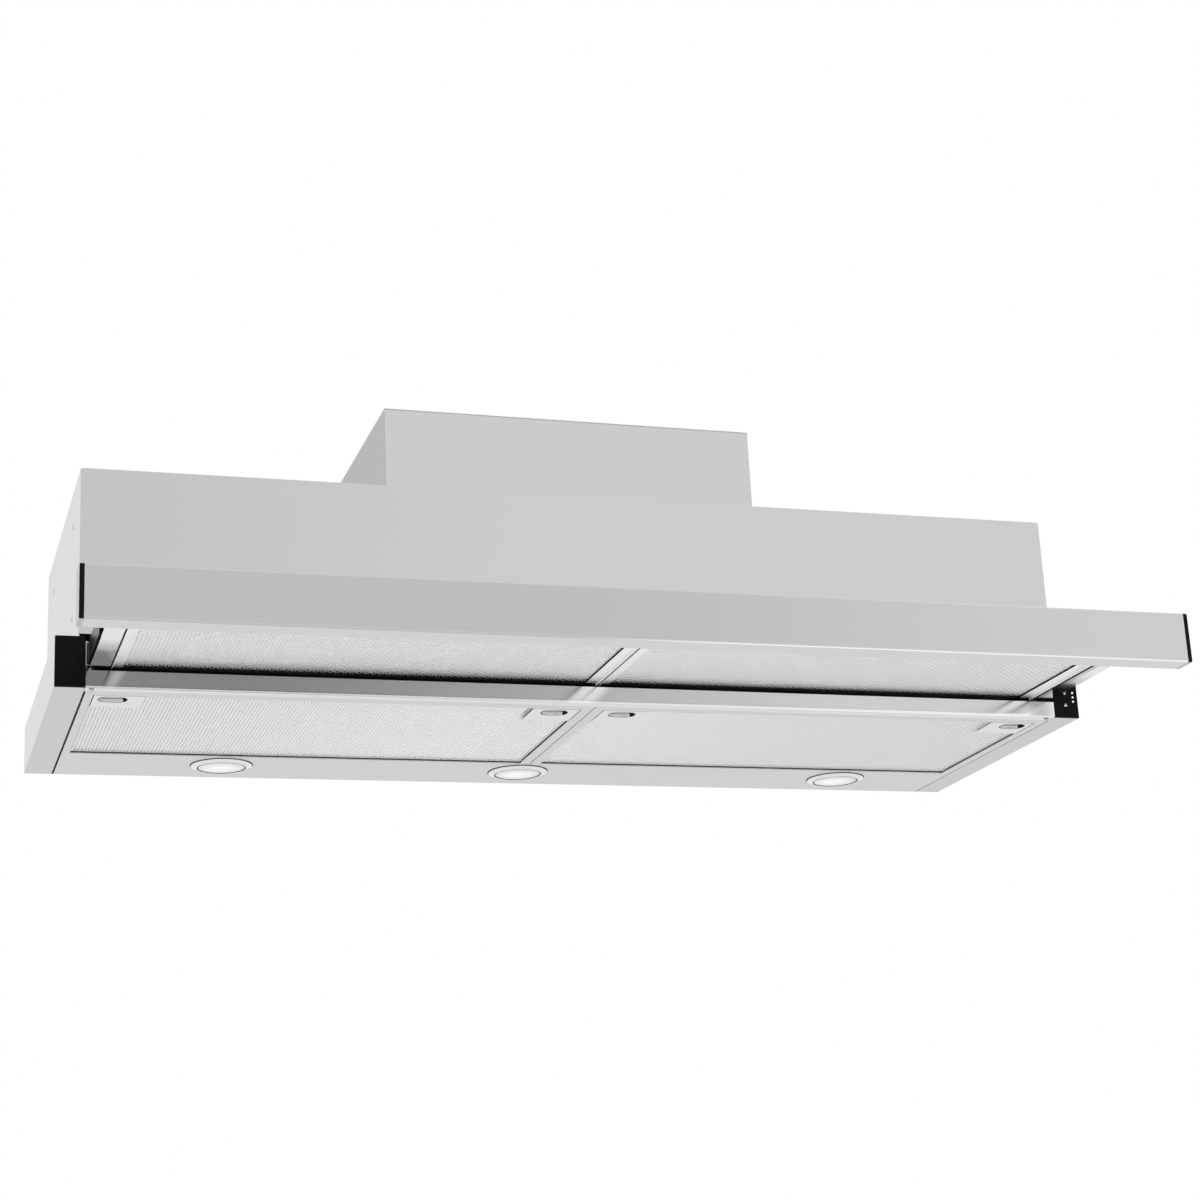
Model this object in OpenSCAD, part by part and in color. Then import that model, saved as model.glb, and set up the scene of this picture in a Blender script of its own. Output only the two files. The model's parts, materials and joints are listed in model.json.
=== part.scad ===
// Pull-out range hood: a housing that hangs in a wall cabinet and a drawer with two more filters.
// X runs across the hood, Y towards the wall and Z up. All sizes are in millimetres.
// The drawer is drawn pulled out. It closes towards +Y.

/* [Housing] */
// Width of the lower section and of the drawer front
hood_w = 898; // [880:1:930]
// Depth of the housing from its front plane to the wall
body_d = 300; // [294:1:330]
// Height of the lower section, which stays under the cabinet
lower_h = 42; // [40:0.5:48]
// Width of the upper body, which goes between the cabinet's sides
body_w = 861; // [850:1:866]
// Height of the upper body over the lower section
upper_h = 143; // [136:1:160]
// Thickness of the steel sheet
sheet = 0.8; // [0.7:0.1:1.2]
// Width of the channels along both sides of the lower section
channel_w = 24; // [22:0.5:26]
// Distance of the front panel behind the housing's front plane
panel_set = 4; // [3:0.5:6]
// Gap between the lower section and the front panel
panel_gap = 3; // [2:0.5:5]
// Radius of the upper corners of the front panel
panel_r = 3; // [2:0.5:6]

/* [Chimney] */
// Width of the box over the fan
chimney_w = 337; // [320:1:380]
// Height of the box over the upper body
chimney_h = 87; // [80:1:100]
// Distance of the box behind the housing's front plane
chimney_set = 47; // [44:1:50]
// Gap between this box and the wall
chimney_gap = 13; // [10:1:18]
// Radius of the duct collar
collar_r = 75; // [70:0.5:76]
// Height of the duct collar over the box
collar_h = 28; // [24:1:36]
// Gap between the collar's flange and the rear edge of the box
collar_gap = 4; // [2:0.5:8]

/* [Drawer] */
// Travel of the drawer
pull_out = 172; // [150:1:180]
// Height of the drawer front
fascia_h = 42; // [38:0.5:46]
// Depth of the drawer front
fascia_d = 21.5; // [18:0.5:26]
// How far the drawer front hangs below the housing
fascia_drop = 2.5; // [2.5:0.1:4]
// Gap between the closed drawer front and the housing
close_gap = 1; // [0.5:0.1:2]
// Thickness of the plastic end caps of the drawer front
fascia_cap_t = 3.7; // [2:0.1:5]
// Width of the drawer's side rails
rail_w = 16; // [15.5:0.1:18]
// Height of the steel strip below the drawer
strip_h = 14; // [12:0.5:15]
// Gap between the ball slides and the wall
slide_back = 32; // [20:1:50]
// Width of the frames round the drawer filters
drawer_frame_w = 10; // [8:0.5:14]

/* [Filters] */
// Distance of the filters in the housing behind its front plane
filter_set = 24; // [22:1:26]
// Depth of the band between these filters and the wall
filter_back = 81; // [79:1:90]
// Thickness of these filters
filter_t = 8; // [7:0.5:8.5]
// Half width of the bar between the two filters
bar_half = 10; // [9:0.5:14]
// Width of the border outside each filter
border_w = 9; // [8:0.5:12]
// Width of one mesh opening
mesh_gap_w = 13; // [10:0.5:14]
// Length of one mesh opening
mesh_gap_l = 20; // [16:0.5:22]
// Width of the metal between mesh openings
mesh_rib = 5; // [4:0.5:6]
// Depth of the mesh above the underside
mesh_recess = 1.9; // [1.3:0.1:2.2]
// Travel of a filter latch
latch_travel = 5; // [3:0.5:6]
// Width of a latch's finger opening
finger_w = 22.5; // [18:0.5:24]
// Depth of a latch's finger opening
finger_d = 15.5; // [12:0.5:16]

/* [Lamps and controls] */
// Radius of a lamp's bezel
lamp_r = 27.5; // [25:0.5:30]
// Radius of a lamp's lens
lens_r = 22; // [18:0.5:22.5]
// Distance of the lamps in front of the wall
lamp_back = 47; // [45:1:50]
// Depth of the plastic blocks that close the side channels
block_d = 20; // [16:1:30]
// Radius of a push button
button_r = 3.2; // [2.5:0.1:3.6]
// Travel of a push button
button_travel = 1; // [0.5:0.1:1.2]

/* [Fan] */
// Room for the fan casing in front and behind, inside the box over it
fan_side = 19; // [17.5:0.1:22]
// Gap between the impeller and each side of its casing
impeller_gap = 7.5; // [6.5:0.5:10]
// Number of blades
blade_count = 36; // [24:1:40]
// Inner width of the fan casing
casing_w = 147; // [144:1:156]
// Thickness of the fan casing
casing_t = 2; // [1.5:0.1:2.5]
// Growth of the casing's spiral from its tongue to its outlet
spiral_growth = 36; // [32:0.5:37]
// Gap between the motor and the blades round it
motor_gap = 13.3; // [12:0.1:18]
// Radius of the motor's shaft
shaft_r = 4; // [3:0.1:5]

/* [Hidden] */
$fn = 64;
arc_steps = 6;
// Overrun of every cut past the face that it opens
over = 0.5;
// Gap between pieces that are joined
seat = 0.3;
// Gap between pieces that slide past each other
run = 0.6;
// Radial gap of a pin or shaft in its bore
pin_fit = 0.05;

// Places of the lamps across the hood, as shares of its width
lamp_x_shares = [-0.311, -0.003, 0.354];

// Corners of one mesh opening, as shares of its half width and half length
mesh_gap_shares = [[1, 0.35], [0, 1], [-1, 0.35], [-1, -0.35], [0, -1], [1, -0.35]];

// Main lines of the housing, from its front plane and its underside
half_w = hood_w / 2;
inner_x = half_w - channel_w;
side_x = body_w / 2;
top_z = lower_h + upper_h;
lid_z = top_z + chimney_h;
panel_z = lower_h + panel_gap;
back_y = body_d - sheet;
chimney_x = chimney_w / 2;
collar_flange = 8;
chimney_back = body_d - chimney_gap;
chimney_d = chimney_back - chimney_set;
collar_set = chimney_back - collar_gap - collar_flange - collar_r;
fascia_back = -pull_out - close_gap;
fascia_front = fascia_back - fascia_d;

// The origin is at the middle of the whole part's base, with the drawer out
front_y = -(body_d + fascia_front) / 2;
under_z = fascia_drop;

// Strip and underside
strip_d = 13;
strip_edge_r = 2;
strip_flange = 8;
panel_y0 = strip_d + seat;
seam_w = 0.7;
seam_gap = 0.8;
seam_t = 0.4;
turn_up = 10;

// Filters in the housing
filter_gap = 0.8;
filter_x0 = bar_half + filter_gap / 2;
filter_x1 = inner_x - border_w - filter_gap / 2;
filter_w = filter_x1 - filter_x0;
filter_y1 = body_d - filter_back;
filter_d = filter_y1 - filter_set;
rim_t = 1.2;
net_t = 1.2;
hinge_inset = 3;
hinge_z = 3.2;
hinge_r = 1.5;
ear_t = 2;
ear_d = 8;
ear_h = 7.5;
plate_w = 41;
plate_d = 37;
latch_z = 3;
finger_side = 4.5;
finger_front = 4;
finger_corner = 7;
latch_t = 2.4;
bolt_w = 14;
bolt_out = filter_gap - seat;

// Drawer
drawer_gap = 2;
head_gap = 1;
rail_drop = 0.6;
drawer_seam = 1;
rail_side = 3;
rail_x = inner_x - rail_side;
web_x = rail_x - rail_w;
drawer_z0 = strip_h + drawer_gap;
drawer_z1 = lower_h - head_gap;
net_z = drawer_z0 + rail_drop;
drawer_filter_t = 6;
drawer_lap = 18;
drawer_filter_d = pull_out + drawer_lap;
drawer_y1 = fascia_back + sheet + seat + drawer_filter_d + seat;
bar_w = 12;

// Ball slides, measured inwards from the side channel
slide_y0 = 3;
slide_len = body_d - slide_back - slide_y0;
slide_h = 20;
slide_t = 1.2;
slide_reach = 7;
middle_reach = 9;
slide_z = (drawer_z0 + drawer_z1) / 2;
middle_h = slide_h - 2 * slide_t - 2 * run;
inner_h = middle_h - 2 * slide_t - 2 * run;
middle_u = slide_t + run;
inner_u0 = slide_t + middle_u + run + slide_t;
inner_u1 = rail_side + rail_w - sheet;

// Lamps
bezel_lip = 0.8;
bezel_turn = 40;
lamp_neck_t = 1;
lamp_neck_h = 9;
lens_t = 2.4;
module_h = 8;
sink_r_share = 0.8;
sink_h = 5;

// Controls
block_face = 2;
block_wall = 1.6;
board_t = 1.6;
board_y = 9;
// Heights of the two push buttons, as shares of the lower section's height
light_share = 0.54;
fan_share = 0.27;
button_x = half_w - channel_w / 2 - sheet / 2;
light_z = lower_h * light_share;
fan_z = lower_h * fan_share;
button_proud = 0.2;
button_flange = 1;
button_flange_t = 1;
stem_r = 1.5;
switch_w = 6;
switch_h = 2;
lens_dot_r = 0.9;
dot_side = 4.5;
dot_x = half_w - dot_side;
dot_pitch = 4;
dot_count = 3;
dot_z0 = 15;

// Fan
fan_clear = 6;
rim_w = 5;
rim_half = 2;
tongue_a = 60;
spiral_step = 10;
full_turn = 360;
half_turn = 180;
down_a = 270;
front_growth = spiral_growth * (half_turn - tongue_a) / (full_turn - tongue_a);
fan_room = chimney_d - 2 * sheet - 2 * fan_side;
spiral_r0 = (fan_room - front_growth - spiral_growth - 2 * rim_w) / 2;
impeller_r = spiral_r0 - rim_w;
impeller_l = casing_w - 2 * impeller_gap;
bottom_r = spiral_r0 + spiral_growth * (down_a - tongue_a) / (full_turn - tongue_a);
tongue_y = spiral_r0 * cos(tongue_a);
throat_y = spiral_r0 + spiral_growth;
fan_y = collar_set - (tongue_y + throat_y) / 2;
adapter_h = 36;
fan_z0 = lower_h + fan_clear + bottom_r + rim_w;
throat_z = lid_z - fan_z0 - adapter_h;
blade_r0_share = 0.82;
blade_lean = 24;
blade_t = 1;
blade_steps = 5;
end_ring_w = 3;
end_ring_l = 2;
disc_t = 2;
hub_r = 10;
hub_l = 12;
inlet_in = 11;
inlet_r = impeller_r - inlet_in;
motor_r = impeller_r * blade_r0_share - motor_gap;
inlet_lip = 6;
inlet_t = 2;
motor_front = 14;
motor_boss_r = 12;
motor_boss_l = 4;
motor_back_in = 1.5;
motor_back = casing_w / 2 - motor_back_in;
arm_t = 2.2;
arm_w = 10;
arm_count = 3;
bracket_r = 22;
foot_r = 4;
collar_t = 1.2;
flap_gap = 1.2;
flap_t = 1;
rod_r = 1.5;
funnel_sides = 32;
knuckle_t = 1.2;
flap_z = 8;
// Length of the flaps' knuckles along the rod, as a share of the flap's radius
knuckle_share = 0.7;

// Electrics over the filters
box_w = 110;
box_d = 80;
box_h = 40;
box_x = 200;
box_back = 80;
box_mid_y = body_d - box_back;
capacitor_r = 16;
capacitor_l = 56;
gland_r = 8;
gland_bore_r = 4;
gland_h = 12;
gland_nut_r = 12;
gland_nut_h = 6;

// Screws
screw_r = 1.7;
screw_head_r = 3.6;
screw_head_h = 2;
screw_l = 6;
chimney_flange = 14;
// Places of the side screws along the chimney, as shares of its depth
screw_y_shares = [0.2, 0.5, 0.8];
fixing_r = 2.5;
fixing_y = 180;
fixing_z = 80;
fixing_mid_y = (panel_set + body_d) / 2;
fixing_mid_z = top_z - upper_h / 2;

// Frame of the housing: its front plane is Y zero and its underside is Z zero
module in_housing() {
  translate([0, front_y, under_z]) children();
}

// A box between two corners
module box(low, high) {
  translate(low) cube(high - low);
}

// A profile drawn in Y and Z, drawn out along X
module along_x(x0, x1) {
  translate([x0, 0, 0]) rotate([90, 0, 90]) linear_extrude(x1 - x0) children();
}

// A profile drawn in X and Z, drawn out along Y
module along_y(y0, y1) {
  translate([0, y1, 0]) rotate([90, 0, 0]) linear_extrude(y1 - y0) children();
}

// A tube or a plain rod along X
module rod_x(x0, x1, r) {
  translate([x0, 0, 0]) rotate([0, 90, 0]) cylinder(h = x1 - x0, r = r);
}

module rod_y(y0, y1, r) {
  translate([0, y1, 0]) rotate([90, 0, 0]) cylinder(h = y1 - y0, r = r);
}

// The same piece on the other side
module mirrored(side) {
  if (side > 0) children(); else mirror([1, 0, 0]) children();
}

// Points of an arc, for the rounded corners of a profile
function arc(c, r, a0, a1) = [
  for (i = [0:arc_steps]) let(a = a0 + (a1 - a0) * i / arc_steps) c + r * [cos(a), sin(a)]
];

// A rectangle with round corners
module round_rect(low, high, r) {
  translate(low + [r, 0]) square([high.x - low.x - 2 * r, high.y - low.y]);
  translate(low + [0, r]) square([high.x - low.x, high.y - low.y - 2 * r]);
  for (x = [low.x + r, high.x - r], y = [low.y + r, high.y - r]) translate([x, y]) circle(r);
}

// A channel section: its web stands at u0 and its flanges reach to u1
module channel_section(u0, u1, h, t) {
  dir = sign(u1 - u0);
  difference() {
    translate([min(u0, u1), -h / 2]) square([abs(u1 - u0), h]);
    translate([min(u0 + dir * t, u1 + dir * over), -h / 2 + t])
      square([abs(u1 - u0) - t + over, h - 2 * t]);
  }
}

// Lower section

module side_channel(side) {
  color("gainsboro") in_housing() mirrored(side) difference() {
    box([inner_x, block_face, 0], [half_w, back_y, lower_h]);
    box([inner_x + sheet, block_face - over, sheet], [half_w - sheet, back_y + over, lower_h - sheet]);
  }
}

module side_channel_left() {
  side_channel(-1);
}

module side_channel_right() {
  side_channel(1);
}

module filter_window() {
  translate([filter_x0 - filter_gap, filter_set - filter_gap])
    square([filter_w + 2 * filter_gap, filter_d + 2 * filter_gap]);
}

module underside_panel() {
  color("lightgray") in_housing() {
    difference() {
      linear_extrude(sheet) difference() {
        translate([-inner_x + seam_gap, panel_y0])
          square([2 * inner_x - 2 * seam_gap, back_y - panel_y0]);
        for (side = [-1, 1]) mirrored(side) filter_window();
        for (share = lamp_x_shares)
          translate([share * hood_w, body_d - lamp_back]) circle(lens_r + lamp_neck_t + seat);
      }
      box([-seam_w / 2, panel_y0 + seam_w, -over], [seam_w / 2, filter_y1, seam_t]);
    }
    box([-inner_x + seam_gap, panel_y0, 0], [inner_x - seam_gap, panel_y0 + sheet, turn_up]);
  }
}

module centre_bar() {
  color("silver") in_housing() translate([0, 0, sheet]) along_y(panel_y0 + sheet, filter_y1)
    difference() {
      translate([-bar_half + ear_t + seat + filter_gap, 0])
        square([2 * (bar_half - ear_t - seat - filter_gap), turn_up - sheet]);
      translate([-bar_half + ear_t + seat + filter_gap + sheet, -over])
        square([2 * (bar_half - ear_t - seat - filter_gap - sheet), turn_up - 2 * sheet + over]);
    }
}

module front_strip() {
  r = strip_edge_r;
  outer = concat(
    [[0, strip_h]], arc([r, r], r, 180, 270), [[strip_d, 0], [strip_d, sheet]],
    arc([r, r], r - sheet, 270, 180),
    [[sheet, strip_h - sheet], [strip_flange, strip_h - sheet], [strip_flange, strip_h]]
  );
  color("silver") in_housing() along_x(-inner_x + seat, inner_x - seat) polygon(outer);
}

// Shape shared by the two plastic blocks: a face plate and a hollow plug
module block_body() {
  box([inner_x, 0, 0], [half_w, block_face, lower_h]);
  difference() {
    box([inner_x + sheet + seat, block_face, sheet + seat],
        [half_w - sheet - seat, block_d, lower_h - sheet - seat]);
    box([inner_x + sheet + seat + block_wall, block_face - over, sheet + seat + block_wall],
        [half_w - sheet - seat - block_wall, block_d + over, lower_h - sheet - seat - block_wall]);
  }
}

module end_block() {
  color("black") in_housing() mirror([1, 0, 0]) block_body();
}

// Places of the indicator lights on the control block
module at_dots() {
  for (i = [0:dot_count - 1]) translate([dot_x, 0, dot_z0 + i * dot_pitch]) children();
}

module control_block() {
  color("black") in_housing() difference() {
    block_body();
    for (z = [light_z, fan_z])
      translate([button_x, 0, z]) rod_y(-over, block_face + over, button_r + seat / 2);
    at_dots() rod_y(-over, block_face + over, lens_dot_r + seat / 2);
  }
}

module control_board() {
  edge = sheet + 2 * seat + block_wall;
  color("darkgreen") in_housing() {
    box([inner_x + edge, board_y, edge], [half_w - edge, board_y + board_t, lower_h - edge]);
    for (z = [light_z, fan_z])
      box([button_x - switch_w / 2, board_y - switch_h, z - switch_w / 2],
          [button_x + switch_w / 2, board_y, z + switch_w / 2]);
  }
}

module indicator_lenses() {
  color("white") in_housing() at_dots() rod_y(0, board_y, lens_dot_r);
}

module push_button(z) {
  color("black") in_housing() translate([button_x, 0, z]) {
    rod_y(-button_proud, block_face + seat + button_flange_t, button_r);
    rod_y(block_face + seat, block_face + seat + button_flange_t, button_r + button_flange);
    rod_y(block_face + seat, board_y - switch_h - button_travel - seat, stem_r);
  }
}

module light_button() {
  push_button(light_z);
}

module fan_button() {
  push_button(fan_z);
}

// Upper body

module side_panel(side) {
  color("whitesmoke") in_housing() mirrored(side) difference() {
    box([side_x - sheet, panel_set + sheet, lower_h], [side_x, back_y, top_z]);
    for (y = [-1, 1], z = [-1, 1])
      translate([0, fixing_mid_y + y * fixing_y / 2, fixing_mid_z + z * fixing_z / 2])
        rod_x(side_x - sheet - over, side_x + over, fixing_r);
  }
}

module side_panel_left() {
  side_panel(-1);
}

module side_panel_right() {
  side_panel(1);
}

module back_panel() {
  color("silver") in_housing() along_y(back_y, body_d) {
    translate([-half_w, 0]) square([hood_w, lower_h]);
    translate([-side_x, 0]) square([body_w, top_z]);
  }
}

module chimney_opening() {
  translate([-chimney_x + sheet, chimney_set + sheet])
    square([chimney_w - 2 * sheet, chimney_d - 2 * sheet]);
}

module chimney_flange_holes() {
  reach_x = chimney_x + chimney_flange / 2;
  for (side = [-1, 1], share = screw_y_shares)
    translate([side * reach_x, chimney_set + share * chimney_d]) children();
  for (side = [-1, 1])
    translate([side * chimney_x / 2, chimney_set - chimney_flange / 2]) children();
}

module top_panel() {
  color("silver") in_housing() translate([0, 0, top_z - sheet]) linear_extrude(sheet) difference() {
    translate([-side_x + sheet + seat, panel_set + sheet + seat])
      square([body_w - 2 * sheet - 2 * seat, back_y - panel_set - sheet - 2 * seat]);
    chimney_opening();
    chimney_flange_holes() circle(screw_r + seat);
    translate([box_x + box_w / 2, box_mid_y]) circle(gland_r + seat);
  }
}

module front_panel() {
  y0 = panel_set;
  y1 = panel_set + sheet;
  tuck = side_x - sheet - seat;
  fold = chimney_flange;
  color("lightgray") in_housing() {
    along_y(y0, y1) {
      translate([-side_x, panel_z]) square([body_w, top_z - panel_z - panel_r]);
      translate([-side_x + panel_r, panel_z]) square([body_w - 2 * panel_r, top_z - panel_z]);
      for (side = [-1, 1]) translate([side * (side_x - panel_r), top_z - panel_r]) circle(panel_r);
    }
    box([-tuck, y1, panel_z], [tuck, y1 + strip_flange, panel_z + sheet]);
    for (side = [-1, 1]) mirrored(side)
      box([tuck - sheet, y1, panel_z], [tuck, y1 + fold, top_z - sheet - seat]);
  }
}

// Chimney and duct

module chimney_shell() {
  color("gainsboro") in_housing() {
    difference() {
      box([-chimney_x, chimney_set, top_z], [chimney_x, chimney_back, lid_z - sheet]);
      box([-chimney_x + sheet, chimney_set + sheet, top_z - over],
          [chimney_x - sheet, chimney_back - sheet, lid_z]);
    }
    translate([0, 0, top_z]) linear_extrude(sheet) difference() {
      translate([-chimney_x - chimney_flange, chimney_set - chimney_flange])
        square([chimney_w + 2 * chimney_flange, chimney_d + chimney_flange]);
      chimney_opening();
      chimney_flange_holes() circle(screw_r + seat);
    }
  }
}

module chimney_lid() {
  color("silver") in_housing() translate([0, 0, lid_z - sheet]) linear_extrude(sheet) difference() {
    translate([-chimney_x, chimney_set]) square([chimney_w, chimney_d]);
    translate([0, collar_set]) circle(collar_r - collar_t);
  }
}

module chimney_screws() {
  color("silver") in_housing() translate([0, 0, top_z + sheet]) chimney_flange_holes() {
    cylinder(h = screw_head_h, r = screw_head_r);
    translate([0, 0, -screw_l]) cylinder(h = screw_l + screw_head_h, r = screw_r);
  }
}

module duct_collar() {
  color("dimgray") in_housing() translate([0, collar_set, lid_z]) difference() {
    union() {
      cylinder(h = collar_h, r = collar_r);
      cylinder(h = collar_t, r = collar_r + collar_flange);
    }
    translate([0, 0, -over]) cylinder(h = collar_h + 2 * over, r = collar_r - collar_t);
    translate([0, 0, flap_z]) rod_x(-collar_r - over, collar_r + over, rod_r + pin_fit);
  }
}

module outlet_adapter() {
  z0 = fan_z0 + throat_z;
  z1 = lid_z - sheet;
  half = casing_w / 2;
  depth = throat_y - tongue_y;
  thin = sheet;
  module funnel(grow, low, high) {
    hull() {
      translate([-half - grow, collar_set - depth / 2 - grow, low])
        cube([2 * half + 2 * grow, depth + 2 * grow, thin]);
      translate([0, collar_set, high - thin])
        cylinder(h = thin, r = collar_r - 2 * collar_t + grow, $fn = funnel_sides);
    }
  }
  color("dimgray") in_housing() difference() {
    funnel(casing_t, z0, z1);
    funnel(0, z0 - over, z1 + over);
  }
}

module flap_rod() {
  color("silver") in_housing() translate([0, collar_set, lid_z + flap_z]) rod_x(-collar_r, collar_r, rod_r);
}

// One flap closes the front half of the collar at side -1 and the rear half at side 1
module duct_flap(side) {
  r = collar_r - collar_t - flap_gap;
  knuckle_r = rod_r + 2 * pin_fit + knuckle_t;
  span = r * knuckle_share;
  cut = span / 3;
  pieces = side > 0 ? [[run / 2 - cut, cut - run / 2]] : [[-span, -cut - run / 2], [cut + run / 2, span]];
  reach = side * (knuckle_r + run);
  color("gray") in_housing() translate([0, collar_set, lid_z + flap_z]) difference() {
    union() {
      translate([0, 0, -flap_t / 2]) linear_extrude(flap_t) intersection() {
        circle(r);
        translate([-r, side > 0 ? knuckle_r + seat : -r]) square([2 * r, r - knuckle_r - seat]);
      }
      for (p = pieces) {
        rod_x(p[0], p[1], knuckle_r);
        box([p[0], min(0, reach), -flap_t / 2], [p[1], max(0, reach), flap_t / 2]);
      }
    }
    rod_x(-collar_r, collar_r, rod_r + 2 * pin_fit);
  }
}

module flap_front() {
  duct_flap(-1);
}

module flap_rear() {
  duct_flap(1);
}

// Fan

module at_fan() {
  in_housing() translate([0, fan_y, fan_z0]) children();
}

function spiral_r(a) = spiral_r0 + spiral_growth * (a - tongue_a) / (full_turn - tongue_a);

// Outline of the casing, moved outwards by grow
function casing_outline(grow, top) = concat(
  [for (a = [tongue_a:spiral_step:full_turn]) (spiral_r(a) + grow) * [cos(a), sin(a)]],
  [[throat_y + grow, top], [tongue_y - grow, top]]
);

module casing_half(side) {
  half = casing_w / 2;
  color("slategray") at_fan() mirrored(side) {
    difference() {
      along_x(0, half + casing_t) polygon(casing_outline(casing_t, throat_z));
      along_x(-over, half) polygon(casing_outline(0, throat_z + over));
      rod_x(half - over, half + casing_t + over, inlet_r + inlet_t);
    }
    difference() {
      along_x(0, rim_half) polygon(casing_outline(rim_w, throat_z - rim_w));
      along_x(-over, rim_half + over) polygon(casing_outline(casing_t / 2, throat_z));
    }
  }
}

module casing_left() {
  casing_half(-1);
}

module casing_right() {
  casing_half(1);
}

// Bell-shaped rings that lead the air into both sides of the impeller
module inlet_rings() {
  face = casing_w / 2 + casing_t;
  color("dimgray") at_fan() for (side = [-1, 1]) mirrored(side) translate([face, 0, 0]) rotate([0, 90, 0])
    rotate_extrude() polygon(concat(
      [[inlet_r + inlet_lip + inlet_t, 0], [inlet_r + inlet_lip + inlet_t, inlet_t]],
      arc([inlet_r + inlet_lip, inlet_t - inlet_lip], inlet_lip, 90, 180),
      [[inlet_r, -inlet_lip], [inlet_r + inlet_t - seat / 2, -inlet_lip], [inlet_r + inlet_t - seat / 2, 0]]
    ));
}

// Section of one forward-curved blade, in the plane across the shaft
function blade_section() = let(
  r0 = impeller_r * blade_r0_share,
  r1 = impeller_r - end_ring_w / 2,
  at = function(i) r0 + (r1 - r0) * i / blade_steps,
  lean = function(i) blade_lean * pow(i / blade_steps, 2) / 2
) concat(
  [for (i = [0:blade_steps]) at(i) * [cos(lean(i)), sin(lean(i))] - [0, blade_t / 2]],
  [for (i = [blade_steps:-1:0]) at(i) * [cos(lean(i)), sin(lean(i))] + [0, blade_t / 2]]
);

module impeller() {
  half = impeller_l / 2;
  color("darkslategray") at_fan() difference() {
    union() {
      rod_x(-disc_t / 2, disc_t / 2, impeller_r - end_ring_w / 2);
      rod_x(-hub_l / 2, hub_l / 2, hub_r);
      for (i = [0:blade_count - 1]) rotate([i * full_turn / blade_count, 0, 0])
        along_x(-half, half) polygon(blade_section());
      for (x = [-half, half - end_ring_l]) difference() {
        rod_x(x, x + end_ring_l, impeller_r);
        rod_x(x - over, x + end_ring_l + over, impeller_r - end_ring_w);
      }
    }
    rod_x(-hub_l, hub_l, shaft_r + pin_fit / 2);
  }
}

module motor_shaft() {
  color("silver") at_fan() rod_x(-motor_front - motor_boss_l - hub_l, hub_l / 2 + seat, shaft_r);
}

module motor() {
  color("gray") at_fan() difference() {
    union() {
      rod_x(-motor_back, -motor_front - motor_boss_l, motor_r);
      rod_x(-motor_front - motor_boss_l, -motor_front, motor_boss_r);
      rod_x(-casing_w / 2 - casing_t - inlet_t - seat, -motor_back, motor_boss_r);
    }
    rod_x(-motor_front - motor_boss_l - hub_l - run, -motor_front + over, shaft_r + pin_fit);
  }
}

module motor_bracket() {
  x1 = -casing_w / 2 - casing_t - inlet_t - seat;
  x0 = x1 - arm_t;
  foot = inlet_r + inlet_lip + inlet_t + foot_r + seat;
  color("silver") at_fan() {
    rod_x(x0, x1, bracket_r);
    for (i = [0:arm_count - 1]) rotate([i * full_turn / arm_count + 90, 0, 0]) {
      box([x0, 0, -arm_w / 2], [x1, foot, arm_w / 2]);
      translate([0, foot, 0]) rod_x(x0, -casing_w / 2 - casing_t, foot_r);
    }
  }
}

// Electrics

module electronics_box() {
  color("dimgray") in_housing()
    box([box_x, box_mid_y - box_d / 2, top_z - sheet - box_h],
        [box_x + box_w, box_mid_y + box_d / 2, top_z - sheet - seat]);
}

module capacitor() {
  color("whitesmoke") in_housing() translate([0, box_mid_y, top_z - sheet - box_h / 2])
    rod_x(box_x - capacitor_l, box_x, capacitor_r);
}

module cable_gland() {
  color("black") in_housing() translate([box_x + box_w / 2, box_mid_y, top_z]) difference() {
    union() {
      cylinder(h = gland_nut_h, r = gland_nut_r, $fn = 6);
      translate([0, 0, -sheet - seat]) cylinder(h = gland_h + sheet + seat, r = gland_r);
    }
    translate([0, 0, -sheet - seat - over])
      cylinder(h = gland_h + sheet + seat + 2 * over, r = gland_bore_r);
  }
}

module at_lamps() {
  in_housing() for (share = lamp_x_shares) translate([share * hood_w, body_d - lamp_back, 0]) children();
}

module lamp_bezels() {
  neck = lens_r + lamp_neck_t;
  color("silver") at_lamps() rotate_extrude() polygon(concat(
    [[lens_r, -fascia_drop], [neck, -fascia_drop]],
    arc([neck, -bezel_lip], fascia_drop - bezel_lip, down_a, down_a + bezel_turn),
    [[lamp_r, -bezel_lip], [lamp_r, 0], [neck, 0], [neck, lamp_neck_h], [lens_r, lamp_neck_h]]
  ));
}

module lamp_lenses() {
  color("white") at_lamps() translate([0, 0, -fascia_drop + seat])
    cylinder(h = lens_t, r = lens_r - seat / 2);
}

module lamp_modules() {
  z0 = -fascia_drop + seat + lens_t + seat;
  color("dimgray") at_lamps() {
    translate([0, 0, z0]) cylinder(h = module_h, r = lens_r - seat / 2);
    translate([0, 0, z0 + module_h]) cylinder(h = sink_h, r = lens_r * sink_r_share);
  }
}

// Filters in the housing

module hinge_ears() {
  pin_y = filter_y1 - hinge_inset;
  near = filter_x0 - filter_gap - ear_t;
  far = filter_x1 + filter_gap;
  color("silver") in_housing() for (side = [-1, 1]) mirrored(side) for (x = [near, far]) difference() {
    box([x, pin_y - ear_d / 2, sheet], [x + ear_t, pin_y + ear_d / 2, sheet + ear_h]);
    translate([0, pin_y, hinge_z]) rod_x(x - over, x + ear_t + over, hinge_r + pin_fit);
  }
}

// Corner plates hold the latches: at = 0 lies at the filter's inner end, 1 at its outer end
function plate_x(at) = at == 0 ? filter_x0 : filter_x1 - plate_w;
function finger_x(at) = at == 0
  ? filter_x0 + finger_side + finger_front
  : filter_x1 - finger_side - finger_w;

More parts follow.
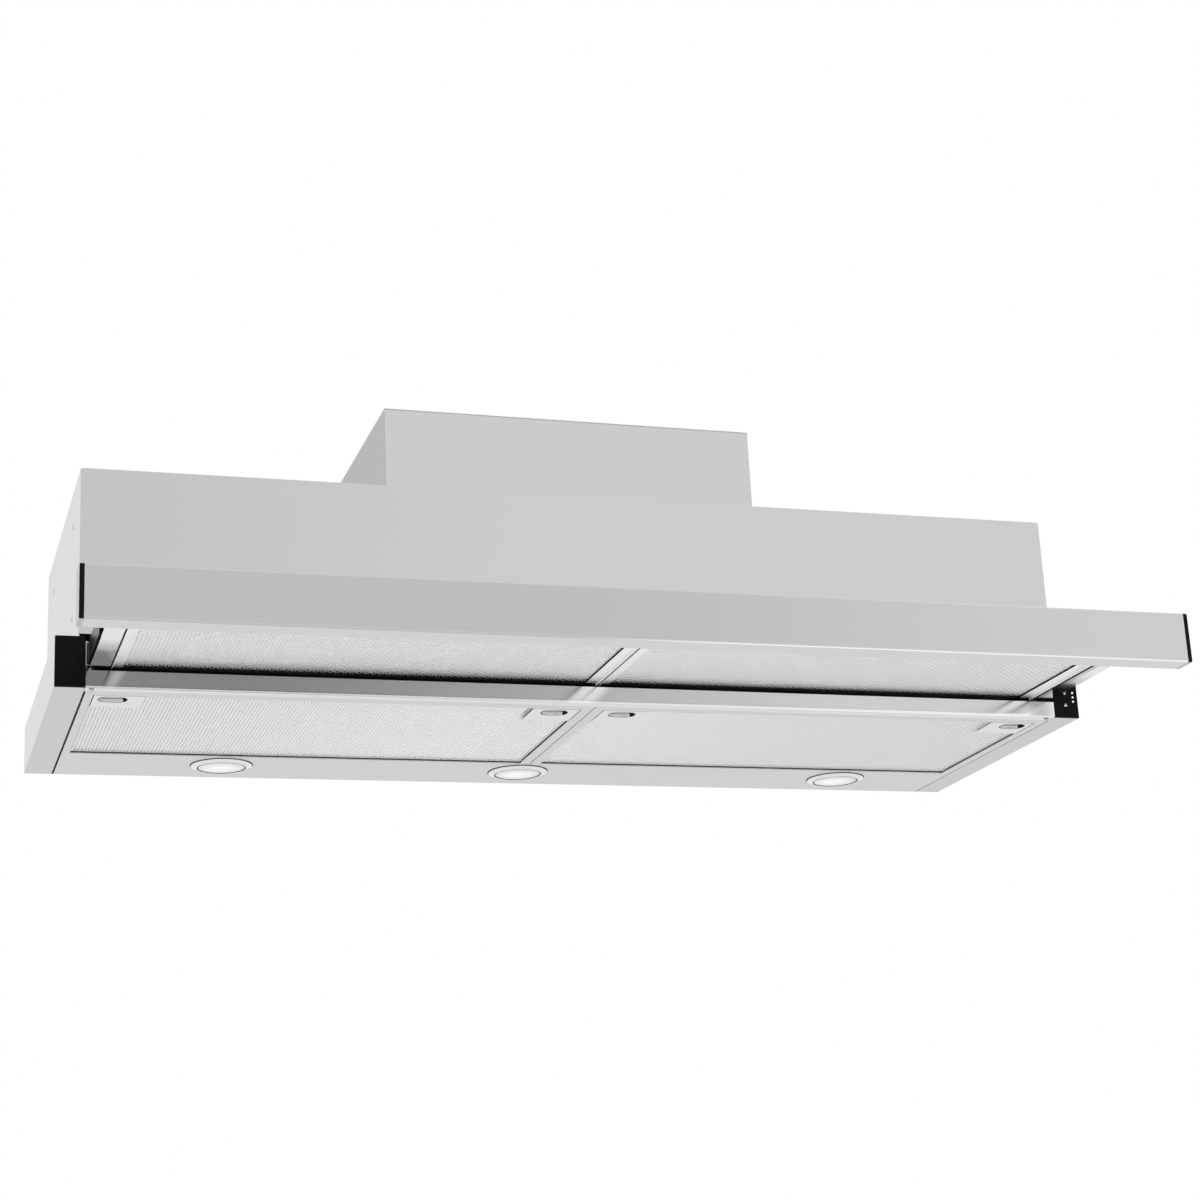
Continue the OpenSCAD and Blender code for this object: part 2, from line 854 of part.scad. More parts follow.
module filter_frame(side) {
  pin_y = filter_y1 - hinge_inset;
  z0 = mesh_recess - seat;
  reach = filter_gap + ear_t + seat;
  color("silver") in_housing() mirrored(side) {
    difference() {
      box([filter_x0, filter_set, z0], [filter_x1, filter_y1, filter_t]);
      box([filter_x0 + rim_t, filter_set + rim_t, z0 - over],
          [filter_x1 - rim_t, filter_y1 - rim_t, filter_t + over]);
      for (at = [0, 1]) latch_way(at);
    }
    for (at = [0, 1]) difference() {
      box([plate_x(at), filter_set, 0], [plate_x(at) + plate_w, filter_set + plate_d, filter_t]);
      translate([finger_x(at), filter_set + finger_front, -over]) linear_extrude(latch_z + over)
        round_rect([0, 0], [finger_w, finger_d], finger_corner);
      latch_way(at);
    }
    translate([0, pin_y, hinge_z]) {
      rod_x(filter_x0 - reach, filter_x0 + rim_t, hinge_r);
      rod_x(filter_x1 - rim_t, filter_x1 + reach, hinge_r);
    }
  }
}

// Room for one latch and its travel inside a corner plate
module latch_way(at) {
  x = finger_x(at);
  z0 = latch_z;
  y0 = filter_set + finger_front - rim_t;
  box([x - rim_t, y0, z0 - seat],
      [x + finger_w + rim_t, y0 + finger_d + 2 * rim_t + latch_travel, z0 + latch_t + seat]);
  box([x + finger_w / 2 - bolt_w / 2 - seat, filter_set - over, z0 - seat],
      [x + finger_w / 2 + bolt_w / 2 + seat, y0 + over, z0 + latch_t + seat]);
}

module filter_latch(side, at) {
  x = finger_x(at);
  z0 = latch_z;
  y0 = filter_set + finger_front - rim_t + seat;
  y1 = y0 + finger_d + 2 * rim_t - 2 * seat;
  color("gainsboro") in_housing() mirrored(side) {
    box([x - rim_t + seat, y0, z0], [x + finger_w + rim_t - seat, y1, z0 + latch_t]);
    box([x + finger_w / 2 - bolt_w / 2, filter_set - bolt_out, z0],
        [x + finger_w / 2 + bolt_w / 2, y0, z0 + latch_t]);
  }
}

module filter_frame_left() {
  filter_frame(-1);
}

module filter_frame_right() {
  filter_frame(1);
}

// A flat net: staggered openings in one sheet, kept a margin inside the outline
module net(outline, low, high, clear) {
  pitch_x = mesh_gap_w + mesh_rib;
  pitch_y = mesh_gap_l + mesh_rib;
  nx = floor((high.x - low.x - mesh_rib) / pitch_x);
  ny = floor((high.y - low.y - mesh_rib) / pitch_y);
  x0 = (low.x + high.x - nx * pitch_x) / 2;
  y0 = (low.y + high.y - ny * pitch_y) / 2;
  holes = [
    for (j = [0:ny - 1], i = [0:nx - 1 - j % 2])
      let(c = [x0 + (i + 0.5 + (j % 2) / 2) * pitch_x, y0 + (j + 0.5) * pitch_y])
        if (len([for (b = clear) if (abs(c.x - b[0]) < b[2] && abs(c.y - b[1]) < b[3]) 1]) == 0) c
  ];
  gap = [mesh_gap_w / 2, mesh_gap_l / 2];
  ring = [for (s = mesh_gap_shares) [s.x * gap.x, s.y * gap.y]];
  points = concat(outline, [for (c = holes, p = ring) c + p]);
  first = len(outline);
  paths = concat(
    [[for (i = [0:first - 1]) i]],
    [for (k = [0:len(holes) - 1]) [for (i = [0:len(ring) - 1]) first + k * len(ring) + i]]
  );
  linear_extrude(net_t) polygon(points, paths);
}

module filter_net(side) {
  x0 = filter_x0 + rim_t + seat;
  x1 = filter_x1 - rim_t - seat;
  y0 = filter_set + rim_t + seat;
  y1 = filter_y1 - rim_t - seat;
  cut_x0 = filter_x0 + plate_w + seat;
  cut_x1 = filter_x1 - plate_w - seat;
  cut_y = filter_set + plate_d + seat;
  outline = [
    [cut_x0, y0], [cut_x1, y0], [cut_x1, cut_y], [x1, cut_y],
    [x1, y1], [x0, y1], [x0, cut_y], [cut_x0, cut_y]
  ];
  room = [mesh_gap_w / 2 + mesh_rib / 2, mesh_gap_l / 2 + mesh_rib / 2];
  plates = [for (x = [x0, x1]) [x, y0, plate_w + room.x, plate_d + room.y]];
  color("silver") in_housing() mirrored(side) translate([0, 0, mesh_recess])
    net(outline, [x0, y0], [x1, y1], plates);
}

module filter_net_left() {
  filter_net(-1);
}

module filter_net_right() {
  filter_net(1);
}

module latch_left_outer() {
  filter_latch(-1, 1);
}

module latch_left_inner() {
  filter_latch(-1, 0);
}

module latch_right_inner() {
  filter_latch(1, 0);
}

module latch_right_outer() {
  filter_latch(1, 1);
}

// Slides

module slides_outer() {
  color("silver") in_housing() for (side = [-1, 1]) mirrored(side)
    translate([inner_x, 0, slide_z]) along_y(slide_y0, slide_y0 + slide_len)
      channel_section(0, -slide_reach, slide_h, slide_t);
}

module slide_middle(side) {
  y0 = slide_y0 - pull_out / 2;
  color("gainsboro") in_housing() mirrored(side) translate([inner_x, 0, slide_z])
    along_y(y0, y0 + slide_len) channel_section(-middle_u, -middle_u - middle_reach, middle_h, slide_t);
}

module slide_middle_left() {
  slide_middle(-1);
}

module slide_middle_right() {
  slide_middle(1);
}

module slides_inner() {
  y0 = slide_y0 - pull_out;
  color("silver") in_housing() for (side = [-1, 1]) mirrored(side)
    translate([inner_x, 0, slide_z]) along_y(y0, y0 + slide_len)
      channel_section(-inner_u1, -inner_u0, inner_h, slide_t);
}

// Drawer

module drawer_rail(side) {
  h = drawer_z1 - drawer_z0;
  color("lightgray") in_housing() mirrored(side) translate([0, 0, slide_z])
    along_y(fascia_back, slide_y0 - pull_out + slide_len) channel_section(web_x, rail_x, h, sheet);
}

module drawer_rail_left() {
  drawer_rail(-1);
}

module drawer_rail_right() {
  drawer_rail(1);
}

module drawer_top() {
  color("silver") in_housing()
    box([-web_x, fascia_back, drawer_z1 - sheet], [web_x, drawer_y1 + bar_w, drawer_z1]);
}

module drawer_bars() {
  z1 = drawer_z1 - sheet;
  zf = net_z + drawer_filter_t + seat;
  color("silver") in_housing() {
    box([-web_x, fascia_back, net_z], [web_x, fascia_back + sheet, z1]);
    box([-web_x, drawer_y1, net_z], [web_x, drawer_y1 + sheet, zf]);
    box([-web_x, drawer_y1 - bar_w, zf], [web_x, drawer_y1 + sheet, zf + sheet]);
    box([-bar_w / 2, fascia_back + sheet, zf], [bar_w / 2, drawer_y1 - bar_w, z1]);
  }
}

module drawer_filter(side) {
  x0 = seat / 2;
  x1 = web_x - drawer_seam;
  y0 = fascia_back + sheet + seat;
  y1 = y0 + drawer_filter_d;
  w = drawer_frame_w;
  outline = [[x0 + w, y0 + w], [x1 - w, y0 + w], [x1 - w, y1 - w], [x0 + w, y1 - w]];
  color("silver") in_housing() mirrored(side) {
    difference() {
      box([x0, y0, net_z], [x1, y1, net_z + drawer_filter_t]);
      box([x0 + w, y0 + w, net_z - over], [x1 - w, y1 - w, net_z + drawer_filter_t + over]);
    }
    translate([0, 0, net_z + mesh_recess]) net(outline, [x0 + w, y0 + w], [x1 - w, y1 - w], []);
  }
}

module drawer_filter_left() {
  drawer_filter(-1);
}

module drawer_filter_right() {
  drawer_filter(1);
}

module fascia() {
  z0 = -fascia_drop;
  z1 = z0 + fascia_h;
  y0 = fascia_front;
  y1 = fascia_back;
  r = strip_edge_r;
  lip = drawer_z1 - drawer_z0 - slide_h;
  outer = concat(
    arc([y0 + r, z0 + r], r, 180, 270),
    [[y1, z0], [y1, z0 + lip], [y1 - sheet, z0 + lip], [y1 - sheet, z0 + sheet]],
    arc([y0 + r, z0 + r], r - sheet, 270, 180),
    arc([y0 + r, z1 - r], r - sheet, 180, 90),
    [[y1 - sheet, z1 - sheet], [y1 - sheet, z1 - lip], [y1, z1 - lip], [y1, z1]],
    arc([y0 + r, z1 - r], r, 90, 180)
  );
  color("lightgray") in_housing() along_x(-half_w + fascia_cap_t, half_w - fascia_cap_t) polygon(outer);
}

module fascia_caps() {
  z0 = -fascia_drop;
  z1 = z0 + fascia_h;
  y0 = fascia_front;
  r = strip_edge_r;
  color("black") in_housing() for (x = [-half_w, half_w - fascia_cap_t]) along_x(x, x + fascia_cap_t)
    polygon(concat(
      arc([y0 + r, z0 + r], r, 180, 270),
      [[fascia_back, z0], [fascia_back, z1]],
      arc([y0 + r, z1 - r], r, 90, 180)
    ));
}

side_channel_left();
side_channel_right();
underside_panel();
centre_bar();
front_strip();
end_block();
control_block();
control_board();
indicator_lenses();
light_button();
fan_button();
side_panel_left();
side_panel_right();
back_panel();
top_panel();
front_panel();
chimney_shell();
chimney_lid();
chimney_screws();
duct_collar();
outlet_adapter();
flap_rod();
flap_front();
flap_rear();
casing_left();
casing_right();
inlet_rings();
impeller();
motor_shaft();
motor();
motor_bracket();
capacitor();
electronics_box();
cable_gland();
lamp_bezels();
lamp_lenses();
lamp_modules();
hinge_ears();
filter_frame_left();
filter_frame_right();
filter_net_left();
filter_net_right();
latch_left_outer();
latch_left_inner();
latch_right_inner();
latch_right_outer();
slides_outer();
slide_middle_left();
slide_middle_right();
slides_inner();
drawer_rail_left();
drawer_rail_right();
drawer_top();
drawer_bars();
drawer_filter_left();
drawer_filter_right();
fascia();
fascia_caps();
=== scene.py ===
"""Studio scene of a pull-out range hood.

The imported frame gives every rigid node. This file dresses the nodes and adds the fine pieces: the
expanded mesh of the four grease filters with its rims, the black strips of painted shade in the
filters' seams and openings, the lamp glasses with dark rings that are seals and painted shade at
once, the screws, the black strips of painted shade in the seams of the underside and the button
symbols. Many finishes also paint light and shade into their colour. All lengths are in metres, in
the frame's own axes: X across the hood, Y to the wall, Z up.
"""
import json
import logging
import math
from dataclasses import dataclass
from enum import Enum
from typing import Callable, ClassVar, Optional, Sequence, Union

import bmesh
import bpy
from mathutils import Matrix, Vector


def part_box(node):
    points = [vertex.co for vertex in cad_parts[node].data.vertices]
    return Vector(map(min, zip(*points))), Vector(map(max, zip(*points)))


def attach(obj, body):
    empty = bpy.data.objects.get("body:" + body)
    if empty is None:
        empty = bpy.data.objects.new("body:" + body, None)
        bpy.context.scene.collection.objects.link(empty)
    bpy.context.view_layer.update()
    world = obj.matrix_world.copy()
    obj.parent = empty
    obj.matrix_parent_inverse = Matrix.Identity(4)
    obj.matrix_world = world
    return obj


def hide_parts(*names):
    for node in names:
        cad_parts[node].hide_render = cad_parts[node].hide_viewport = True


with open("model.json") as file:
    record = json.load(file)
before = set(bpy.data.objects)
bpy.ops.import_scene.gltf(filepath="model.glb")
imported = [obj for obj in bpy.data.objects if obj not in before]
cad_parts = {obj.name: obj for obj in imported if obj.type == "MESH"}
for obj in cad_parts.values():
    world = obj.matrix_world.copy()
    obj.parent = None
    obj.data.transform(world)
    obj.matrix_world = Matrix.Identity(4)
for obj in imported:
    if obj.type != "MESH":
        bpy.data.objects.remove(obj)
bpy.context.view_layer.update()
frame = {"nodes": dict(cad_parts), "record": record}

MM = 0.001
WHITE = (1.0, 1.0, 1.0, 1.0)
SIDES = ("left", "right")
log = logging.getLogger("hood")

Triple = tuple[float, float, float]


class Grain(Enum):
    """Direction in which a sheet is brushed."""

    ALONG_X = (0.02, 1.0, 1.0)
    ALONG_Y = (1.0, 0.02, 1.0)


class Signal:
    """A shader socket that takes part in Python arithmetic; each operator adds a Math node."""

    def __init__(self, tree: bpy.types.NodeTree, socket: bpy.types.NodeSocket) -> None:
        """Wraps a socket.

        Args:
            tree: Node tree that the socket belongs to.
            socket: Output socket to wrap.
        """
        self.tree = tree
        self.socket = socket

    def _math(self, operation: str, *values: Union["Signal", float]) -> "Signal":
        """Adds a Math node.

        Args:
            operation: Name of the Math node's operation.
            values: Its inputs in order, signals or numbers.

        Returns:
            The node's result.
        """
        node = self.tree.nodes.new("ShaderNodeMath")
        node.operation = operation
        for index, value in enumerate(values):
            if isinstance(value, Signal):
                self.tree.links.new(value.socket, node.inputs[index])
            else:
                node.inputs[index].default_value = value
        return Signal(self.tree, node.outputs[0])

    def __add__(self, other: Union["Signal", float]) -> "Signal":
        """Returns self + other."""
        return self._math("ADD", self, other)

    __radd__ = __add__

    def __sub__(self, other: Union["Signal", float]) -> "Signal":
        """Returns self - other."""
        return self._math("SUBTRACT", self, other)

    def __rsub__(self, other: float) -> "Signal":
        """Returns other - self."""
        return self._math("SUBTRACT", other, self)

    def __mul__(self, other: Union["Signal", float]) -> "Signal":
        """Returns self * other."""
        return self._math("MULTIPLY", self, other)

    __rmul__ = __mul__

    def __gt__(self, other: Union["Signal", float]) -> "Signal":
        """Returns 1 where self is above other, else 0."""
        return self._math("GREATER_THAN", self, other)

    def at_least(self, other: Union["Signal", float]) -> "Signal":
        """Returns the larger of self and other."""
        return self._math("MAXIMUM", self, other)

    def at_most(self, other: Union["Signal", float]) -> "Signal":
        """Returns the smaller of self and other."""
        return self._math("MINIMUM", self, other)


class Nodes:
    """A node tree, and the one way in which nodes other than Math are added to it."""

    def __init__(self, tree: bpy.types.NodeTree) -> None:
        """Empties the tree of a material or a world."""
        self.tree = tree
        self.tree.nodes.clear()

    def node(
        self,
        kind: str,
        settings: Optional[dict] = None,
        values: Optional[dict] = None,
    ) -> bpy.types.Node:
        """Adds a node.

        Args:
            kind: Node type without its ShaderNode prefix.
            settings: Properties that are set first.
            values: Socket values or signals, by socket name or index.

        Returns:
            The new node.
        """
        node = self.tree.nodes.new("ShaderNode" + kind)
        for key, value in (settings or {}).items():
            setattr(node, key, value)
        for key, value in (values or {}).items():
            if isinstance(value, Signal):
                self.tree.links.new(value.socket, node.inputs[key])
            else:
                node.inputs[key].default_value = value
        return node

    def signal(
        self,
        kind: str,
        output: Union[int, str] = 0,
        values: Optional[dict] = None,
        settings: Optional[dict] = None,
    ) -> Signal:
        """Adds a node and wraps one of its outputs.

        Args:
            kind: Node type without its ShaderNode prefix.
            output: Name or index of the output.
            values: Socket values or signals, by socket name or index.
            settings: Properties that are set first.

        Returns:
            The output.
        """
        return Signal(self.tree, self.node(kind, settings, values).outputs[output])


class Paint(Nodes):
    """One material while its nodes are put together."""

    FADED_SHARE: ClassVar[float] = 0.3

    def __init__(self, name: str) -> None:
        """Starts a material with a Principled shader and an output.

        Args:
            name: Name of the material.
        """
        self.material = bpy.data.materials.new(name)
        self.material.use_nodes = True
        super().__init__(self.material.node_tree)
        self.shader = self.node("BsdfPrincipled")
        surface = Signal(self.tree, self.shader.outputs[0])
        self.output = self.node("OutputMaterial", None, {"Surface": surface})

    def feed(self, socket: str, value: Union[Signal, float, Sequence[float]]) -> None:
        """Sets or links one input of the shader.

        Args:
            socket: Name of the input.
            value: Number, colour or signal.
        """
        if isinstance(value, Signal):
            self.tree.links.new(value.socket, self.shader.inputs[socket])
        else:
            self.shader.inputs[socket].default_value = value

    def place(self, stretch: Triple = (1.0, 1.0, 1.0)) -> Signal:
        """Returns the object coordinates, multiplied by stretch."""
        values = {"Vector": self.signal("TexCoord", "Object"), "Scale": stretch}
        return self.signal("Mapping", 0, values)

    def coordinate(self, axis: int) -> Signal:
        """Returns the object coordinate along one axis."""
        return self.signal("SeparateXYZ", axis, {0: self.place()})

    def facing(self, axis: int) -> Signal:
        """Returns the surface normal's share along one axis of the object."""
        return self.signal("SeparateXYZ", axis, {0: self.signal("TexCoord", "Normal")})

    def along(self, axis: int, start: float, end: float) -> Signal:
        """Returns a soft step along one axis of the object: 0 at start and 1 at end."""
        values = {"Value": self.coordinate(axis), "From Min": start, "From Max": end}
        return self.signal("MapRange", 0, values, {"interpolation_type": "SMOOTHSTEP"})

    def noise(
        self,
        size: float,
        stretch: Triple = (1.0, 1.0, 1.0),
        detail: float = 3.0,
        rough: float = 0.5,
    ) -> Signal:
        """Adds a noise pattern.

        Args:
            size: Size of its features.
            stretch: Factor for each coordinate; a small one draws the pattern out.
            detail: Octaves of finer pattern.
            rough: Strength of the finer octaves.

        Returns:
            Its value, from 0 to 1.
        """
        values = {
            "Vector": self.place(stretch),
            "Scale": 1 / size,
            "Detail": detail,
            "Roughness": rough,
        }
        return self.signal("TexNoise", "Fac", values)

    def cells(self, size: float, output: str = "Color") -> Signal:
        """Returns a pattern of cells, such as the spangle of zinc."""
        return self.signal("TexVoronoi", output, {"Vector": self.place(), "Scale": 1 / size})

    def blend(self, mask: Signal, first: Triple, second: Triple) -> Signal:
        """Returns a colour that runs from first, where mask is 0, to second, where it is 1."""
        values = {"Factor": mask, "A": (*first, 1.0), "B": (*second, 1.0)}
        return self.signal("Mix", "Result", values, {"data_type": "RGBA"})

    def shade(
        self,
        color: Triple,
        low: float,
        high: float,
        mask: Signal,
        gain: Optional[Signal] = None,
    ) -> None:
        """Makes the base colour run between two strengths of one colour.

        Args:
            color: Linear colour.
            low: Its factor where mask is 0.
            high: Its factor where mask is 1.
            mask: Values from 0 to 1.
            gain: Factor by which a part is duller or brighter: a second tone, or painted light and
                shade.
        """
        dull = tuple(low * part for part in color)
        bright = tuple(min(1.0, high * part) for part in color)
        base = self.blend(mask, dull, bright)
        if gain is not None:
            base = self.signal("VectorMath", 0, {0: base, "Scale": gain}, {"operation": "SCALE"})
        self.feed("Base Color", base)

    def bump(self, height: Signal, distance: float) -> None:
        """Feeds a Bump node from a height pattern."""
        values = {"Height": height, "Distance": distance, "Strength": 1.0}
        self.feed("Normal", self.signal("Bump", 0, values))

    def glow(self, color: Triple, spots: Sequence[tuple[float, float]], reach: float) -> None:
        """Makes the emission fall off round each lit spot.

        Args:
            color: Linear colour in the middle of a spot.
            spots: Middles of the spots in X and Y.
            reach: Distance at which the light has faded.
        """
        east = self.coordinate(0)
        north = self.coordinate(1)
        light: Union[Signal, float] = 0.0
        for x, y in spots:
            away = (east - x) * (east - x) + (north - y) * (north - y)
            light = (1.0 - away * (1 / reach**2)).at_least(light)
        faded = tuple(self.FADED_SHARE * part for part in color)
        self.feed("Emission Color", self.blend(light, faded, color))


@dataclass(frozen=True)
class Rise:
    """Painted light: gain of a sheet's colour or highlight from one end of the hood to the other.
    """

    start: float
    end: float
    low: float
    high: float

    def gain(self, paint: Paint) -> Signal:
        """Returns the factor of the colour."""
        return self.low + paint.along(0, self.start, self.end) * (self.high - self.low)


@dataclass(frozen=True)
class Gleam:
    """Painted reflection: a slanting band in which polished metal shows a neighbouring edge's
    image.
    """

    middle: float
    reach: float
    share: float
    slant: float = 0.0
    height: float = 10 * MM

    def gain(self, paint: Paint) -> Signal:
        """Works out what the band adds to the colour's factor.

        Args:
            paint: Material that is being made.

        Returns:
            The addition, which is 0 away from the band.
        """
        lean = (paint.coordinate(2) - self.height) * self.slant
        away = paint.coordinate(0) - self.middle - lean
        return (1.0 - away * away * (1 / self.reach**2)).at_least(0.0) * self.share


@dataclass(frozen=True)
class Brushed:
    """Brushed or rolled sheet metal.

    The darker and brighter zones are painted light and shade in the base colour: a painted rise of
    reflected light along X, painted gleams of neighbouring edges, the painted glint of folds that
    look down and forwards, painted shade on folds that look up and forwards, painted light on
    undersides for the floor that they mirror, painted shade on sides that look along X and painted
    dusk towards the wall.
    """

    SIDE_FROM: ClassVar[float] = 0.5
    GLINT_FROM: ClassVar[float] = 0.44
    BROW_FROM: ClassVar[float] = 0.05
    BELLY_FROM: ClassVar[float] = 0.95
    FINE_SHARE: ClassVar[float] = 0.45
    CLOUD_SIZE: ClassVar[float] = 0.2
    HAIRS_PER_LINE: ClassVar[float] = 6

    color: Triple
    roughness: float
    grain: Grain
    streak: float = 0.03
    line: float = 2.2 * MM
    depth: float = 0.001 * MM
    # Painted light and shade: darker sides, rise, gleams, glint, fold shade, underside light, dusk.
    side_shade_share: float = 1.0
    rise: Optional[Rise] = None
    gleams: tuple[Gleam, ...] = ()
    glint: Optional[Rise] = None
    brow_shade: float = 1.0
    brow_shade_end: tuple[float, float] = (1.0, 1.1)
    belly_light: Optional[float] = None
    dusk: Optional[Triple] = None
    cloud: Triple = (1.0, 1.0, 0.1)

    def _gain(self, paint: Paint) -> Optional[Signal]:
        """Works out the factor of the colour.

        Args:
            paint: Material that is being made.

        Returns:
            The factor, or None where the sheet is of one tone.
        """
        gain: Union[Signal, float] = 1.0
        # Painted shade: faces that look along X are darker.
        if self.side_shade_share < 1.0:
            across = paint.facing(0)
            gain = 1.0 - (across * across > self.SIDE_FROM) * (1 - self.side_shade_share)
        # Painted light: a rise of reflected light along X.
        if self.rise is not None:
            gain = self.rise.gain(paint)
        # Painted reflections of neighbouring edges.
        for gleam in self.gleams:
            gain = gleam.gain(paint) + gain
        # Painted highlight on folds that look down and painted shade on folds that look up.
        if self.glint is not None:
            fold = paint.facing(1) * paint.facing(2)
            lower = fold > self.GLINT_FROM
            upper = (fold * -1.0 > self.BROW_FROM) * (1.0 - paint.along(0, *self.brow_shade_end))
            gain = gain * (1.0 - lower) * (1.0 - upper * (1 - self.brow_shade))
            gain = gain + lower * self.glint.gain(paint)
        # Painted light level on undersides, set for the floor that they mirror.
        if self.belly_light is not None:
            down = paint.facing(2) * -1.0 > self.BELLY_FROM
            gain = down * self.belly_light + (1.0 - down) * gain
        # Painted shade towards the wall.
        if self.dusk is not None:
            start, end, share = self.dusk
            gain = (1.0 - paint.along(1, start, end) * (1 - share)) * gain
        return gain if isinstance(gain, Signal) else None

    def make(self, name: str) -> bpy.types.Material:
        """Makes the material.

        Args:
            name: Name of the material.

        Returns:
            The material.
        """
        paint = Paint(name)
        stretch = self.grain.value
        fine = paint.noise(self.line, stretch, detail=6.0, rough=0.7)
        hair = paint.noise(self.line / self.HAIRS_PER_LINE, stretch, detail=2.0)
        cloud = paint.noise(self.CLOUD_SIZE, self.cloud, detail=2.0)
        mask = fine * self.FINE_SHARE + cloud * (1 - self.FINE_SHARE)
        paint.shade(self.color, 1 - self.streak, 1 + self.streak, mask, self._gain(paint))
        paint.feed("Metallic", 1.0)
        paint.feed("Roughness", self.roughness + (fine - 0.5) * 0.08 + (cloud - 0.5) * 0.06)
        paint.bump(hair + fine, self.depth)
        return paint.material


@dataclass(frozen=True)
class Zinc:
    """Galvanised sheet with its spangle."""

    color: Triple
    roughness: float = 0.38
    spangle: float = 9 * MM
    grit: float = 1.2 * MM
    depth: float = 0.006 * MM

    def make(self, name: str) -> bpy.types.Material:
        """Makes the material.

        Args:
            name: Name of the material.

        Returns:
            The material.
        """
        paint = Paint(name)
        grey = paint.signal("RGBToBW", 0, {"Color": paint.cells(self.spangle)})
        paint.shade(self.color, low=0.86, high=1.12, mask=grey)
        paint.feed("Metallic", 1.0)
        paint.feed("Roughness", self.roughness + (grey - 0.5) * 0.15)
        paint.bump(paint.noise(self.grit), self.depth)
        return paint.material


@dataclass(frozen=True)
class Moulded:
    """Moulded plastic, with a fine texture and a little unevenness."""

    FRONT_FROM: ClassVar[float] = 0.5

    color: Triple
    roughness: float
    grain: float = 0.5 * MM
    depth: float = 0.01 * MM
    cloud: float = 50 * MM
    gloss: float = 0.5
    front_share: float = 1.0

    def make(self, name: str) -> bpy.types.Material:
        """Makes the material; with a front share its front face is darker than its sides.

        Args:
            name: Name of the material.

        Returns:
            The material.
        """
        paint = Paint(name)
        skin = paint.noise(self.grain, detail=2.0)
        cloud = paint.noise(self.cloud, detail=2.0)
        gain = None
        if self.front_share < 1.0:
            front = paint.facing(1) * -1.0 > self.FRONT_FROM
            gain = 1.0 - front * (1 - self.front_share)
        paint.shade(self.color, low=0.9, high=1.12, mask=cloud, gain=gain)
        paint.feed("Roughness", self.roughness + (skin - 0.5) * 0.06 + (cloud - 0.5) * 0.05)
        paint.feed("Specular IOR Level", self.gloss)
        paint.bump(skin, self.depth)
        return paint.material


@dataclass(frozen=True)
class Foil:
    """Bright soft aluminium, as expanded mesh or crinkled layers."""

    DUSK_LOSS: ClassVar[float] = 0.97

    color: Triple
    roughness: float = 0.3
    crease: float = 3.0 * MM
    depth: float = 0.02 * MM
    # Painted shade (dusk) and painted light (rise) in the colour.
    dusk: Optional[tuple[float, float]] = None
    rise: Optional[Rise] = None

    def make(self, name: str) -> bpy.types.Material:
        """Makes the material; with painted shade in the dusk behind the strip, or painted light
        along X.

        Args:
            name: Name of the material.

        Returns:
            The material.
        """
        paint = Paint(name)
        fold = paint.noise(self.crease)
        gain = None
        # Painted shade in the dusk behind the strip.
        if self.dusk is not None:
            gain = 1.0 - paint.along(1, *self.dusk) * self.DUSK_LOSS
        # Painted light: a rise of reflected light along X.
        if self.rise is not None:
            gain = self.rise.gain(paint)
        paint.shade(self.color, low=0.97, high=1.02, mask=fold, gain=gain)
        paint.feed("Metallic", 1.0)
        paint.feed("Roughness", self.roughness + (fold - 0.5) * 0.2)
        paint.bump(fold, self.depth)
        return paint.material


@dataclass(frozen=True)
class Board:
    """Printed circuit board with copper tracks under green lacquer."""

    color: Triple = (0.01, 0.12, 0.04)
    track: float = 1.6 * MM
    track_from: float = 0.45
    depth: float = 0.02 * MM

    def make(self, name: str) -> bpy.types.Material:
        """Makes the material.

        Args:
            name: Name of the material.

        Returns:
            The material.
        """
        paint = Paint(name)
        cell = paint.cells(self.track, "Distance")
        paint.shade(self.color, low=0.7, high=2.2, mask=cell > self.track_from)
        paint.feed("Roughness", 0.35 + cell * 0.1)
        paint.bump(cell, self.depth)
        return paint.material


@dataclass(frozen=True)
class Glow:
    """Lit lens: frosted plastic with the light of its diodes behind it."""

    color: Triple
    strength: float
    frost: float = 6 * MM
    depth: float = 0.03 * MM
    hot_spots: tuple[tuple[float, float], ...] = ()
    hot_r: float = 22 * MM

    def make(self, name: str) -> bpy.types.Material:
        """Makes the material.

        Args:
            name: Name of the material.

        Returns:
            The material.
        """
        paint = Paint(name)
        frost = paint.noise(self.frost, detail=2.0)
        paint.shade(self.color, low=0.94, high=1.0, mask=frost)
        paint.feed("Roughness", 0.3 + frost * 0.15)
        if self.hot_spots:
            paint.glow(self.color, self.hot_spots, self.hot_r)
        else:
            paint.feed("Emission Color", (*self.color, 1.0))
        paint.feed("Emission Strength", self.strength)
        paint.bump(frost, self.depth)
        return paint.material


Finish = Union[Brushed, Zinc, Moulded, Foil, Board, Glow]


